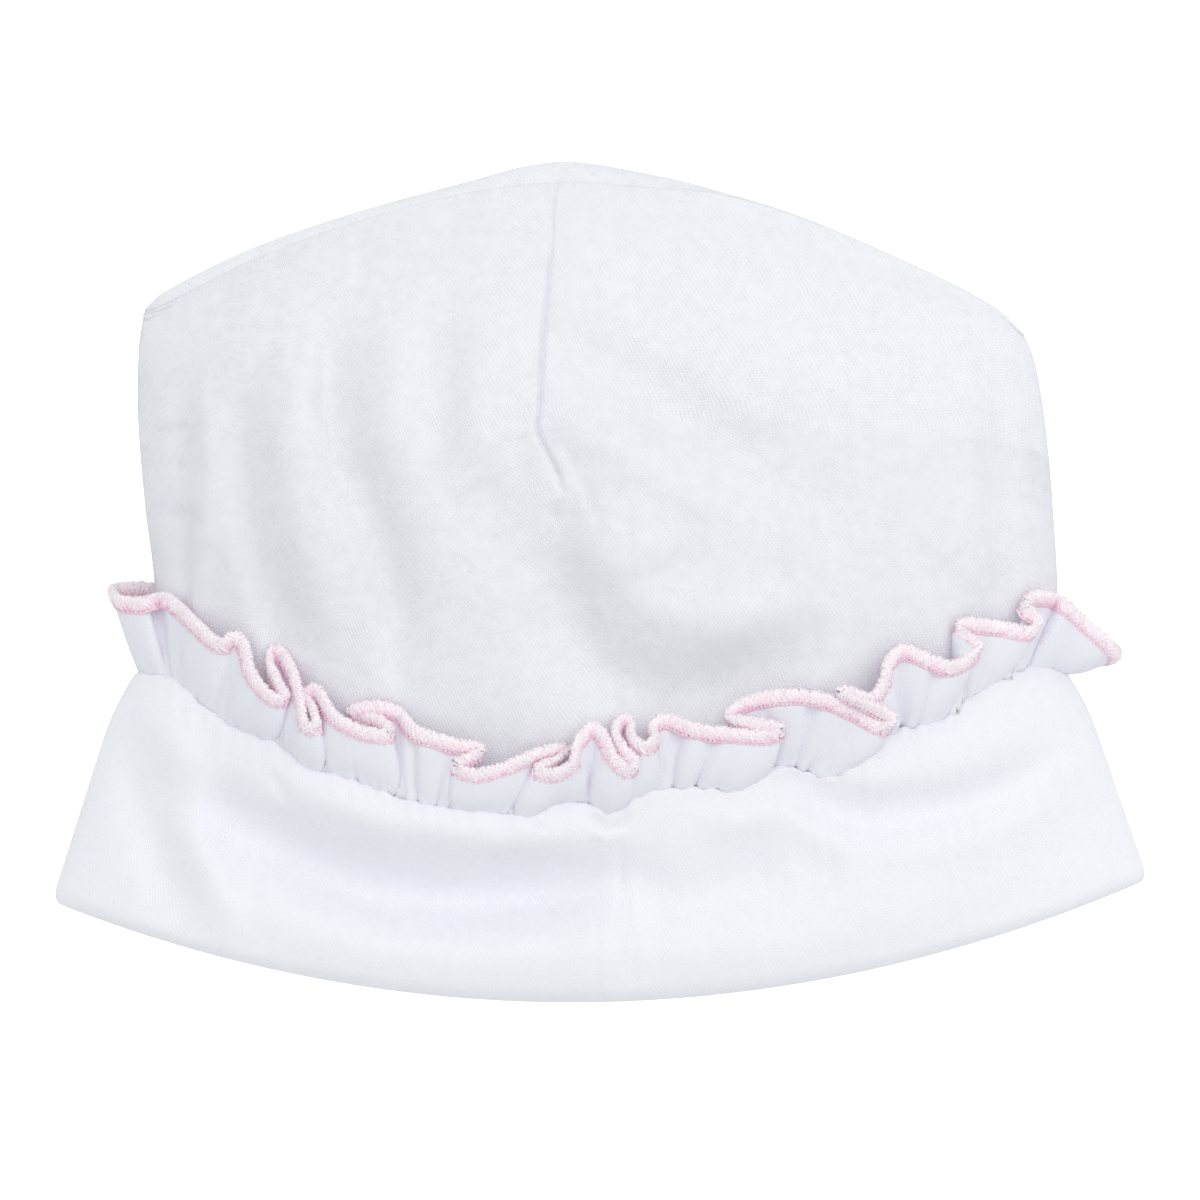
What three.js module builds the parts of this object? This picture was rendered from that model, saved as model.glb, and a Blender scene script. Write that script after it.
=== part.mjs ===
// Ruffled baby hat of white interlock knit, lying on its back on a surface.
// Crown of a front and a back panel, turned-up cuff, gathered ruffle and the ruffle's thick overlocked edging.
// Millimetres. +X is the wearer's left seen from the front, +Y points to the top of the crown, +Z up from the
// surface. The origin is on the surface, under the middle of the hat's back.
import * as THREE from "three";

// Cloth
const KNIT = 1.2; // crown wall
const CUFF_WALL = 2.0; // two layers of knit
const RUFFLE_WALL = 0.8;
const GAP = 0.4; // between pieces that are sewn together
const LAYER_GAP = 0.6; // between layers of cloth that lie on one another
const SEAM_GAP = 0.7; // between the cuff's top edge and the ruffle

// Cuff: a flared sleeve, widest at the brim
const BRIM = { halfWidth: 99, front: 31, side: 9 };
const CUFF_TOP = { halfWidth: 85.5, front: 35, side: 9.5 };
const CUFF_HEIGHT = 37; // from brim to top edge along the cloth
const BRIM_FOLD = 6.2; // thickness of the fold that wraps the crown's lower edge
const HEM_LIP = 9; // how far the fold reaches up inside the crown
const HEM_FLOOR = 2.2; // inside of the fold, above the brim
const BRIM_ROUND = { start: 3, near: 0.7 }; // how the fold rounds the brim
const CUFF_LIP = 0.35; // chamfer of the cuff's top edge

// Crown: inside the cuff, it stands in from the cuff's face by so much at the cuff's top edge
const NECK_INSET = { left: 5, right: 3.5, front: 3.4 };
const SIDE_HEIGHT = 8.5; // height of the side seams above the surface
const SEAM_RISE = 4.2; // how far the arch seam lies above the side seams
const SEAM_TURN = THREE.MathUtils.degToRad(60); // how far round the outline the back panel comes to meet it
const ROLL = 8.5; // radius of the soft roll at the outline
const DOME = { across: 2.3, rise: 0.6 }; // powers that shape the front's cross-section, fuller than an ellipse
const BACK_CLEARANCE = 6; // the back arches over the ruffle that lies under it
const BACK_FALL = { from: 18.5, to: 33 }; // where it comes down to the surface, measured from the cuff's top edge

// Ruffle
const RUFFLE_HEIGHT = 16; // from its seam to the middle of the edging
const RUFFLE_CLEARANCE = 2; // of the edging over the crown where a fold leans down on it
const EDGING = { height: 2.4, thickness: 1.9 };
const WAVE = { pitch: 9, rise: 1.1, middle: 2.6 }; // the part that is pressed under the hat
const GATHER = 15; // length of edging that hangs from about one place of the seam
const SIDE_TURN = { angle: 0.28, share: 0.035 }; // how far round the sides, and over how much of its run, it turns under

// Outline of the crown over the top: x, y, and how far the arch seam lies in front of the outline
const ARCH = [
  { x: -81.9, y: 49.2, strip: 0.6 },
  { x: -78.5, y: 52.2, strip: 2.4 },
  { x: -63, y: 59.9, strip: 2.3 },
  { x: -45, y: 66.2, strip: 1.9 },
  { x: -27, y: 71.2, strip: 2.0 },
  { x: -8, y: 75.6, strip: 3.8 },
  { x: 9, y: 73.4, strip: 2.6 },
  { x: 21, y: 70.5, strip: 1.2 },
  { x: 36, y: 65.8, strip: 2.6 },
  { x: 54, y: 58.2, strip: 1.8 },
  { x: 66, y: 52.4, strip: 0.5 },
  { x: 72.5, y: 48.4, strip: 0.3 },
  { x: 76.3, y: 44.6, strip: 0.3 },
];

// Side outlines of the crown above the cuff, and the height of the front along its middle
const CROWN_ROWS = [
  { v: 0, left: -80.5, leftY: -17.4, right: 82, rightY: -16.6, front: 31.8 },
  { v: 0.18, left: -80.1, leftY: -3, right: 82.4, rightY: -4, front: 36.5 },
  { v: 0.4, left: -81.9, leftY: 13, right: 81.7, rightY: 10.5, front: 40 },
  { v: 0.65, left: -83.2, leftY: 30, right: 80.4, rightY: 26, front: 36.8 },
  { v: 0.85, left: -83, leftY: 42, right: 78.6, rightY: 38, front: 26.8 },
  { v: 0.95, left: -82.3, leftY: 47, right: 77.2, rightY: 42.6, front: 18 },
  { v: 1, left: -81.9, leftY: 49.2, right: 76.3, rightY: 44.6, front: 12.9 },
];

// Lower edge of the cuff, and its top edge, where the ruffle is sewn in
const brimY = (x) => -75.1 + 0.02 * x + 0.0019 * x * x;
const CUFF_EDGE = [
  { x: -85.5, y: -15.9 },
  { x: -79.2, y: -17.2 },
  { x: -68, y: -25.7 },
  { x: -60.8, y: -28 },
  { x: -54.5, y: -32.4 },
  { x: -45, y: -35.2 },
  { x: -34.2, y: -39 },
  { x: -25, y: -40.4 },
  { x: -13, y: -41.5 },
  { x: -6, y: -38.9 },
  { x: 1.6, y: -40.8 },
  { x: 9.5, y: -37.2 },
  { x: 18, y: -36.5 },
  { x: 25, y: -37 },
  { x: 32.5, y: -32.9 },
  { x: 42, y: -34.6 },
  { x: 49, y: -30.4 },
  { x: 54.5, y: -26.5 },
  { x: 63, y: -24.6 },
  { x: 70, y: -19.6 },
  { x: 79, y: -15.2 },
  { x: 85.5, y: -15.4 },
];

// The seam of the front dart, from its point up to the arch seam
const DART = [
  { y: 16, x: -6.9 },
  { y: 24, x: -9.4 },
  { y: 31, x: -10.5 },
  { y: 47, x: -9.8 },
  { y: 62, x: -8.6 },
  { y: 71.5, x: -8 },
];
const DART_WIDTH = 2.2;
const DART_DEPTH = 0.9;

// Soft folds: line of the fold, how wide it is and how high it stands (negative is a valley)
const CROWN_FOLDS = [
  { line: [[-65.3, 29], [-63, 16], [-58.5, 2]], width: 4, rise: -1.5 },
  { line: [[-70, 33], [-68.5, -2]], width: 4, rise: 0.9 },
  { line: [[-47.3, 44], [-46, 22], [-37, 3]], width: 4.5, rise: -2 },
  { line: [[-54, 45], [-52.5, 14]], width: 5, rise: 1.2 },
  { line: [[-25.6, 42], [-27, 27]], width: 5, rise: -1 },
  { line: [[-4.5, 43], [10, 35], [25, 24.5]], width: 5.5, rise: -1.8 },
  { line: [[-7, 28], [9, 26.5]], width: 5, rise: 1.1 },
  { line: [[-5, 15.5], [7.2, -4.2]], width: 4, rise: -1 },
  { line: [[7.2, 7.5], [12, -3.5]], width: 5.5, rise: 1.2 },
  { line: [[18, 6.6], [31, -1.5]], width: 6, rise: -1.2 },
  { line: [[-21.6, 11], [-11, 0.5]], width: 6.5, rise: -1 },
  { line: [[62, 9.5], [64, -4]], width: 5, rise: -1.8 },
  { line: [[-73.4, 33], [-72.5, -4]], width: 3, rise: -1.2 },
  { line: [[73.8, 30], [75, -4]], width: 3, rise: -1.8 },
];
const CUFF_FOLDS = [
  { line: [[-85, -27], [-76, -40], [-68, -54]], width: 4.5, rise: -1.3 },
  { line: [[-65, -38], [-48.6, -47.4], [-28.8, -50], [0, -49]], width: 4.5, rise: -1.8 },
  { line: [[35, -35.5], [45.7, -41], [62, -36.5], [79, -30.5]], width: 3.8, rise: -1.8 },
  { line: [[25, -46.5], [41.4, -50]], width: 6, rise: -1 },
];

// The ruffle's free edge, seen from the front, fold by fold from one side of the hat to the other: where the
// edging goes out to, where it turns, where it comes back to, and the trough before the next fold
const RUFFLE_FOLDS = [
  { out: [-78.3, -1.2], turn: [-84.6, 0.1], back: [-88.4, -1.4], trough: [-86.4, -4.3] },
  { out: [-82.6, -5], turn: [-79.9, -3.7], back: [-77.2, -3.5], trough: [-72.9, -8.4] },
  { out: [-67.6, -11.8], turn: [-65.6, -9.8], back: [-63.6, -11.6], trough: [-63, -17] },
  { out: [-59, -21.9], turn: [-56.4, -21.6], back: [-58.3, -17.6], trough: [-60, -14.4] },
  { out: [-58, -12.8], turn: [-54.2, -15.9], back: [-54.4, -21.4], trough: [-52.9, -26.2] },
  { out: [-50.2, -26.5], turn: [-51.6, -22.4], back: [-52.4, -19.2], trough: [-49.4, -20.4] },
  { out: [-46.6, -25.4], turn: [-41.6, -28.6], back: [-36.8, -28.4], trough: [-40, -25.4] },
  { out: [-44.8, -23.4], turn: [-41.4, -21.6], back: [-36.4, -22.6], trough: [-33.2, -26.8] },
  { out: [-26.2, -29.6], turn: [-20.6, -30.2], back: [-23.4, -32], trough: [-25.8, -33.6] },
  { out: [-22.4, -35.2], turn: [-16.6, -33.8], back: [-10.8, -30.4], trough: [-5.2, -29.6] },
  { out: [-8.4, -32.2], turn: [-12.1, -34], back: [-8.4, -35.8], trough: [-3.2, -32.6] },
  { out: [-4.4, -28.4], turn: [-1.8, -25.6], back: [0.6, -27.4], trough: [1.6, -31.4] },
  { out: [4.9, -34.9], turn: [7, -33.2], back: [4.2, -29.4], trough: [2.6, -26.2] },
  { out: [4, -23.7], turn: [6.3, -25.2], back: [5.8, -28.2], trough: [7.8, -30.2] },
  { out: [10.2, -28.7], turn: [9.4, -25.4], back: [11.8, -23.8], trough: [17.1, -26.4] },
  { out: [24.3, -27.8], turn: [31.6, -28.6], back: [33, -26], trough: [27.4, -25.2] },
  { out: [22.2, -24], turn: [24.4, -21.3], back: [31.5, -20.1], trough: [38.5, -20.7] },
  { out: [45.6, -24], turn: [51, -27.2], back: [53, -24.4], trough: [48.2, -21.8] },
  { out: [42, -19.4], turn: [44.2, -17.5], back: [48.4, -18.8], trough: [50.8, -17] },
  { out: [52.2, -13.3], turn: [55, -12.5], back: [60.2, -15.2], trough: [62.2, -14.2] },
  { out: [64.2, -15.9], turn: [68.4, -12.9], back: [67.6, -9.9], trough: [63.9, -8.6] },
  { out: [64.9, -6.2], turn: [71.1, -6.8], back: [77.2, -9.5], trough: [78.7, -6.8] },
  { out: [75.2, -4.3], turn: [77, -2], back: [82, -1.9], trough: [86.6, -5.8] },
  { out: [93.2, -13.5], turn: [91, -14.6], back: [88.4, -11.4], trough: [85, -7.4] },
];

// How finely the solids are faceted
const FRONT_COLUMNS = 36;
const BACK_COLUMNS = 24;
const RUFFLE_STEP = 2.6;
const BACK_RUFFLE_STEP = 2.45;
const EDGING_SIDES = 6;

const lerp = THREE.MathUtils.lerp;
const clamp = THREE.MathUtils.clamp;
const smoothstep = THREE.MathUtils.smoothstep;
const last = (list) => list[list.length - 1];

// Smooth curve through one column of a table, read at a value of its key column.
function column(table, key, name) {
  const points = table.map((row) => new THREE.Vector2(row[key], row[name]));
  const slopes = points.map((p, i) => {
    const a = points[Math.max(i - 1, 0)];
    const b = points[Math.min(i + 1, points.length - 1)];
    return (b.y - a.y) / (b.x - a.x);
  });
  return (at) => {
    let i = 0;
    while (i < points.length - 2 && at > points[i + 1].x) i++;
    const [a, b] = [points[i], points[i + 1]];
    const span = b.x - a.x;
    const t = clamp((at - a.x) / span, 0, 1);
    const [t2, t3] = [t * t, t * t * t];
    return (
      a.y * (2 * t3 - 3 * t2 + 1) +
      slopes[i] * span * (t3 - 2 * t2 + t) +
      b.y * (3 * t2 - 2 * t3) +
      slopes[i + 1] * span * (t3 - t2)
    );
  };
}

const archY = column(ARCH, "x", "y");
const archStrip = column(ARCH, "x", "strip");
const dartX = column(DART, "y", "x");
const cuffEdgeY = column(CUFF_EDGE, "x", "y");
const crownRow = Object.fromEntries(
  ["left", "leftY", "right", "rightY", "front"].map((name) => [name, column(CROWN_ROWS, "v", name)]),
);

// How high the folds of a list stand at a place.
function foldRise(folds, x, y) {
  let rise = 0;
  for (const fold of folds) {
    let nearest = Infinity;
    for (let i = 1; i < fold.line.length; i++) {
      const [ax, ay] = fold.line[i - 1];
      const [bx, by] = fold.line[i];
      const t = clamp(((x - ax) * (bx - ax) + (y - ay) * (by - ay)) / ((bx - ax) ** 2 + (by - ay) ** 2), 0, 1);
      nearest = Math.min(nearest, Math.hypot(x - lerp(ax, bx, t), y - lerp(ay, by, t)));
    }
    rise += fold.rise * Math.exp(-((nearest / fold.width) ** 2));
  }
  return rise;
}

// Cross-sections of the hat: a dome over the front, and a flat back with a soft roll at each side.
// u runs from -1 to 1 across the hat.
const dome = (u) => Math.pow(Math.max(1 - Math.pow(Math.abs(u), DOME.across), 0), DOME.rise);
function roll(u, halfWidth) {
  const inside = clamp(1 - ((1 - Math.abs(u)) * halfWidth) / ROLL, 0, 1);
  return 1 - Math.sqrt(1 - inside * inside);
}

// A point of the flared sleeve that the cuff is: angle round it from the right side over the front, t from the
// brim to the top edge, and how far inside the outer surface it lies.
function sleeve(angle, t, insetX = 0, insetZ = insetX) {
  const u = Math.cos(angle);
  const halfWidth = lerp(BRIM.halfWidth, CUFF_TOP.halfWidth, t) - insetX;
  const x = halfWidth * u;
  const y = lerp(brimY(BRIM.halfWidth * u), cuffEdgeY(CUFF_TOP.halfWidth * u), t);
  const side = lerp(BRIM.side, CUFF_TOP.side, t);
  if (Math.sin(angle) < 0) return new THREE.Vector3(x, y, insetZ + (side - insetZ) * roll(u, halfWidth));
  const rise = lerp(BRIM.front, CUFF_TOP.front, t) - side + foldRise(CUFF_FOLDS, x, y);
  return new THREE.Vector3(x, y, side + rise * dome(u) - insetZ * Math.min(3 * dome(u), 1));
}

// Place of the crown above the cuff in plan. v runs from 0 at the cuff's top edge to 1 at the arch.
function crownPlan(u, v, archOffset) {
  const right = (u + 1) / 2;
  const neck = CUFF_TOP.halfWidth - (u < 0 ? NECK_INSET.left : NECK_INSET.right);
  const topX = lerp(ARCH[0].x, last(ARCH).x, right);
  const topY = archY(topX) - archOffset * archStrip(topX);
  const corner = (name) => lerp(CROWN_ROWS[0][name], last(CROWN_ROWS)[name], v);
  const side = (left, rightName) =>
    lerp(crownRow[left](v), crownRow[rightName](v), right) - lerp(corner(left), corner(rightName), right);
  const bottomY = cuffEdgeY(CUFF_TOP.halfWidth * u);
  const x = lerp(neck * u, topX, v) + side("left", "right");
  return new THREE.Vector2(x, lerp(bottomY, topY, v) + side("leftY", "rightY"));
}

// The crown's outer face inside the cuff, t from the brim to the cuff's top edge.
function insideCuff(u, t, angle) {
  const own = CUFF_WALL + LAYER_GAP;
  const neck = u < 0 ? NECK_INSET.left : NECK_INSET.right;
  const drawn = smoothstep(t, 0.3, 1);
  return sleeve(angle, t, lerp(own, neck, drawn), angle < 0 ? own : lerp(own, NECK_INSET.front, drawn));
}

function frontPoint(u, v) {
  if (v <= 0) return insideCuff(u, v + 1, Math.acos(u));
  const p = crownPlan(u, v, 1);
  const pull = smoothstep(v, 0.2, 0.6) * (1 - Math.abs(u)) ** 2;
  p.x += pull * (dartX(p.y) - crownPlan(0, v, 1).x);
  const side = lerp(CUFF_TOP.side, SIDE_HEIGHT + GAP / 2, smoothstep(v, 0, 0.2));
  const onDart = p.y > DART[0].y;
  const dart = onDart ? DART_DEPTH * Math.exp(-(((p.x - dartX(p.y)) / DART_WIDTH) ** 2)) : 0;
  const folds = foldRise(CROWN_FOLDS, p.x, p.y) * smoothstep(v, 0, 0.15) * (1 - v ** 8);
  const z = side + (crownRow.front(v) - side) * dome(u) + (folds - dart) * Math.min(dome(u) * 2, 1);
  return new THREE.Vector3(p.x, p.y, z);
}

// How high the front of the crown is at a place in plan, or nothing outside its outline.
function crownHeight(x, y) {
  const bottom = cuffEdgeY(x);
  const v = clamp((y - bottom) / (archY(x) - bottom), 0, 1);
  const u = x / (x < 0 ? -crownRow.left(v) : crownRow.right(v));
  return Math.abs(u) < 1 ? frontPoint(u, Math.max(v, 0.01)).z : 0;
}

// How high the back lies over the surface, away from the outline.
function backHeight(x, y) {
  const past = y - cuffEdgeY(x);
  const over = lerp(CUFF_WALL + LAYER_GAP, BACK_CLEARANCE, smoothstep(past, -1.5, 1.5));
  return over * (1 - smoothstep(past, BACK_FALL.from, BACK_FALL.to));
}

// v as in frontPoint up to the outline at 1, and from there to 2 over the roll to the arch seam.
function backPoint(u, v) {
  if (v <= 0) {
    const p = insideCuff(u, v + 1, -Math.acos(u));
    return p.setZ(Math.min(p.z, SIDE_HEIGHT - GAP / 2));
  }
  const side = SIDE_HEIGHT - GAP / 2;
  const flat = crownPlan(u, Math.min(v, 1), 0);
  const low = backHeight(flat.x, flat.y);
  if (v <= 1) {
    const toTop = (1 - v) * (archY(flat.x) - cuffEdgeY(flat.x));
    const inside = clamp(1 - toTop / ROLL, 0, 1);
    const topRoll = 1 - Math.sqrt(1 - inside * inside);
    return new THREE.Vector3(flat.x, flat.y, low + (side - low) * Math.max(roll(u, CUFF_TOP.halfWidth), topRoll));
  }
  const turn = SEAM_TURN * (v - 1);
  const strip = Math.max(archStrip(flat.x) - GAP, 0.05) / (1 - Math.cos(SEAM_TURN));
  const rise = (SEAM_RISE * dome(u)) / Math.sin(SEAM_TURN);
  return new THREE.Vector3(flat.x, flat.y - strip * (1 - Math.cos(turn)), side + rise * Math.sin(turn));
}

// A closed body from vertices and triangles, turned the right way out.
function body(points, faces) {
  let volume = 0;
  for (const [a, b, c] of faces) volume += points[a].dot(points[b].clone().cross(points[c]));
  const index = volume < 0 ? faces.map(([a, b, c]) => [a, c, b]) : faces;
  const geometry = new THREE.BufferGeometry().setFromPoints(points);
  geometry.setIndex(index.flat());
  geometry.computeVertexNormals();
  return geometry;
}

function quad(faces, a, b, c, d) {
  faces.push([a, b, c], [a, c, d]);
}

// A cloth panel: a grid of outer points with a wall behind it, and a rim all round. The rim is level at the side
// seams, and may be upright at the last row; nothing of the inner face lies lower than least.
function panel(grid, wall, outward, upright, least) {
  const [rows, columns] = [grid.length, grid[0].length];
  const at = (i, j) => i * columns + j;
  const outer = grid.flat();
  const inner = grid.flatMap((row, i) =>
    row.map((p, j) => {
      const along = grid[Math.min(i + 1, rows - 1)][j].clone().sub(grid[Math.max(i - 1, 0)][j]);
      const across = row[Math.min(j + 1, columns - 1)].clone().sub(row[Math.max(j - 1, 0)]);
      const normal = across.cross(along).normalize().multiplyScalar(outward);
      if (j === 0 || j === columns - 1) normal.setZ(0).normalize();
      if (i === rows - 1) normal.set(0, upright ? 0 : normal.y, Math.abs(normal.z)).normalize();
      const q = p.clone().addScaledVector(normal, -wall);
      return q.setZ(Math.max(q.z, least));
    }),
  );
  const shift = outer.length;
  const faces = [];
  for (let i = 0; i < rows - 1; i++)
    for (let j = 0; j < columns - 1; j++) {
      quad(faces, at(i, j), at(i, j + 1), at(i + 1, j + 1), at(i + 1, j));
      quad(faces, shift + at(i, j), shift + at(i + 1, j), shift + at(i + 1, j + 1), shift + at(i, j + 1));
    }
  const rim = (a, b) => quad(faces, a, shift + a, shift + b, b);
  for (let j = 0; j < columns - 1; j++) {
    rim(at(0, j), at(0, j + 1));
    rim(at(rows - 1, j + 1), at(rows - 1, j));
  }
  for (let i = 0; i < rows - 1; i++) {
    rim(at(i + 1, 0), at(i, 0));
    rim(at(i, columns - 1), at(i + 1, columns - 1));
  }
  return body([...outer, ...inner], faces);
}

// A ring swept from closed sections of equal length.
function ring(sections) {
  const size = sections[0].length;
  const faces = [];
  sections.forEach((_, j) => {
    const [here, next] = [j * size, ((j + 1) % sections.length) * size];
    for (let k = 0; k < size; k++) {
      const m = (k + 1) % size;
      quad(faces, here + k, next + k, next + m, here + m);
    }
  });
  return body(sections.flat(), faces);
}

// Places across a panel, closer together at the sides, with the middle one on the dart.
function across(count) {
  const half = Array.from({ length: count / 2 }, (_, i) => {
    const a = (i + 1) / (count / 2);
    return lerp(a, Math.sin((a * Math.PI) / 2), 0.85);
  });
  return [...half.map((u) => -u).reverse(), 0, ...half];
}

function crownFront() {
  const rows = [-0.91, -0.74, -0.35, 0, 0.08, 0.16, 0.24, 0.33, 0.42, 0.51, 0.6, 0.69, 0.78, 0.86, 0.93, 0.975, 1];
  const grid = rows.map((v) => across(FRONT_COLUMNS).map((u) => frontPoint(u, v)));
  return panel(grid, KNIT, 1, false, SIDE_HEIGHT + GAP / 2);
}

function crownBack() {
  const rows = [-0.91, -0.74, -0.1, 0.03, 0.17, 0.28, 0.4, 0.55, 0.74, 0.92, 0.95, 0.98, 1, 1.5, 2];
  const grid = rows.map((v) => across(BACK_COLUMNS).map((u) => backPoint(u, v)));
  return panel(grid, KNIT, -1, true, 0);
}

// The cuff's section at an angle round the hat: down its outer face, round the fold that wraps the crown's lower
// edge, and up its inner face.
function cuffSection(angle) {
  const at = (height, inset) => sleeve(angle, height / CUFF_HEIGHT, inset);
  const inside = CUFF_WALL + KNIT + 3 * LAYER_GAP;
  const { start, near } = BRIM_ROUND;
  const heights = [30, 23, 16, 9];
  return [
    at(CUFF_HEIGHT, CUFF_LIP),
    ...heights.map((h) => at(h, 0)),
    at(start, 0),
    at(near, near),
    at(0, BRIM_FOLD / 2),
    at(near, BRIM_FOLD - near),
    at(start, BRIM_FOLD),
    at(HEM_LIP, BRIM_FOLD),
    at(HEM_LIP, inside),
    at(HEM_FLOOR, inside),
    at(HEM_FLOOR, CUFF_WALL),
    ...heights.map((h) => at(h, CUFF_WALL)).reverse(),
    at(CUFF_HEIGHT, CUFF_WALL - CUFF_LIP),
  ];
}

const cuffAngles = [
  ...across(FRONT_COLUMNS).map((u) => Math.acos(u)),
  ...across(BACK_COLUMNS).slice(1, -1).map((u) => -Math.acos(u)).reverse(),
];

// A place of the seam over the cuff's top edge, on the straight between two of the cuff's sections.
function seamPlace(angle) {
  const turned = ((angle + 3 * Math.PI) % (2 * Math.PI)) - Math.PI;
  const side = cuffAngles.filter((a) => (turned < 0 ? a < 0 : a >= 0) || Math.abs(Math.cos(a)) > 0.9999);
  const u = Math.cos(turned);
  const before = Math.max(...side.map(Math.cos).filter((c) => c <= u), -1);
  const after = Math.min(...side.map(Math.cos).filter((c) => c > u), 1);
  const at = (c) => sleeve((turned < 0 ? -1 : 1) * Math.acos(c), 1 + SEAM_GAP / CUFF_HEIGHT, CUFF_WALL / 2);
  return at(before).lerp(at(after), (u - before) / Math.max(after - before, 1e-6));
}

function cuff() {
  return ring(cuffAngles.map(cuffSection));
}

// The part of the ruffle that shows over the front: places of its free edge, each with its root on the seam.
function frontRun() {
  const turns = RUFFLE_FOLDS.flatMap((f) => [f.out, f.turn, f.back, f.trough]);
  const path = new THREE.CatmullRomCurve3(turns.map(([x, y]) => new THREE.Vector3(x, y, 0)), false, "centripetal");
  path.arcLengthDivisions = 2000;
  const count = Math.round(path.getLength() / RUFFLE_STEP);
  const edge = path.getSpacedPoints(count);
  const reach = Math.round(GATHER / RUFFLE_STEP);
  const widest = 0.985;
  let before = Math.PI + SIDE_TURN.angle;
  return edge.map((p, i) => {
    const near = edge.slice(Math.max(i - reach, 0), i + reach + 1);
    const x = near.reduce((sum, q) => sum + q.x, 0) / near.length;
    const below = Math.acos(clamp(x / CUFF_TOP.halfWidth, -widest, widest));
    const share = i / count;
    const turned = Math.min(share, 1 - share, SIDE_TURN.share) / SIDE_TURN.share;
    const under = share < 0.5 ? Math.PI + SIDE_TURN.angle : -SIDE_TURN.angle;
    const angle = Math.min(lerp(under, below, turned), before - 0.002);
    before = angle;
    const root = seamPlace(angle);
    const flat = Math.hypot(p.x - root.x, p.y - root.y);
    const lift = Math.sqrt(Math.max(RUFFLE_HEIGHT ** 2 - flat ** 2, 0)) * clamp(1.6 * Math.sin(angle), -1, 1);
    const least = Math.sin(angle) > 0 ? crownHeight(p.x, p.y) + RUFFLE_CLEARANCE : WAVE.middle;
    return { angle, root, edge: new THREE.Vector3(p.x, p.y, Math.max(root.z + lift, least)) };
  });
}

// The whole run of the ruffle, over the front and back under the hat in shallow waves.
function ruffleRun() {
  const run = frontRun();
  const [from, to] = [last(run).angle - 0.05, -Math.PI + SIDE_TURN.angle + 0.06];
  const steps = Math.round((2 * CUFF_TOP.halfWidth) / BACK_RUFFLE_STEP);
  for (let i = 1; i < steps; i++) {
    const angle = lerp(from, to, i / steps);
    const at = -Math.acos(lerp(Math.cos(from), Math.cos(to), i / steps));
    const fromEnd = Math.min(i, steps - i);
    const root = seamPlace(fromEnd < 3 ? angle : at);
    const fan = sleeve(at, 1).sub(sleeve(at, 0)).setZ(0).normalize();
    const fade = Math.min(fromEnd, 4) / 4;
    const wave = WAVE.rise * Math.sin((2 * Math.PI * i * BACK_RUFFLE_STEP) / WAVE.pitch) * fade;
    run.push({ root, edge: root.clone().addScaledVector(fan, RUFFLE_HEIGHT).setZ(WAVE.middle + wave) });
  }
  return run;
}

// Direction of the cloth along the run, level with the seam (0) or the edge (1).
function along(run, i, level) {
  const point = (k) => {
    const place = run[(k + run.length) % run.length];
    return place.root.clone().lerp(place.edge, level);
  };
  return point(i + 1).sub(point(i - 1)).normalize();
}

// Directions of the free edge: up from the cloth, and across it.
function edgeAxes(run, i) {
  const forward = along(run, i, 1);
  const up = run[i].edge.clone().sub(run[i].root);
  up.addScaledVector(forward, -up.dot(forward)).normalize();
  return { up, wide: forward.cross(up) };
}

function ruffle() {
  const run = ruffleRun();
  const half = RUFFLE_WALL / 2;
  return ring(
    run.map(({ root, edge }, i) => {
      const top = edgeAxes(run, i);
      const leaning = edge.clone().sub(root).normalize();
      const low = along(run, i, 0.6).cross(leaning).normalize();
      const levels = [
        [root, low],
        [root.clone().lerp(edge, 0.45), low],
        [edge.clone().addScaledVector(top.up, -EDGING.height / 2 - GAP), top.wide],
      ];
      const face = (sign) => levels.map(([place, wide]) => place.clone().addScaledVector(wide, sign * half));
      return [...face(1), ...face(-1).reverse()];
    }),
  );
}

function ruffleEdging() {
  const run = ruffleRun();
  return ring(
    run.map(({ edge }, i) => {
      const { up, wide } = edgeAxes(run, i);
      return Array.from({ length: EDGING_SIDES }, (_, k) => {
        const a = (2 * Math.PI * k) / EDGING_SIDES;
        const place = edge.clone().addScaledVector(up, (Math.cos(a) * EDGING.height) / 2);
        return place.addScaledVector(wide, (Math.sin(a) * EDGING.thickness) / 2);
      });
    }),
  );
}

const whiteKnit = { color: 0xeceef3, roughness: 0.85, metalness: 0 };
const pinkThread = { color: 0xf6c9dd, roughness: 0.9, metalness: 0 };

const hat = new THREE.Group();
hat.name = "ruffled_baby_hat";
for (const [name, geometry, look] of [
  ["crown_front", crownFront(), whiteKnit],
  ["crown_back", crownBack(), whiteKnit],
  ["cuff", cuff(), whiteKnit],
  ["ruffle", ruffle(), whiteKnit],
  ["ruffle_edging", ruffleEdging(), pinkThread],
]) {
  const mesh = new THREE.Mesh(geometry, new THREE.MeshStandardMaterial(look));
  mesh.name = name;
  hat.add(mesh);
}

export default hat;
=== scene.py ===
"""Dressed model of a ruffled baby hat of white interlock knit, laid flat on a pale surface.

Lengths are millimetres in the shared frame: X across the hat, Y to the top of the crown, Z up from the
surface. Meshes, materials and the studio are in metres.
"""

from __future__ import annotations

import logging
import math
from dataclasses import dataclass, field
from enum import Enum

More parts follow.
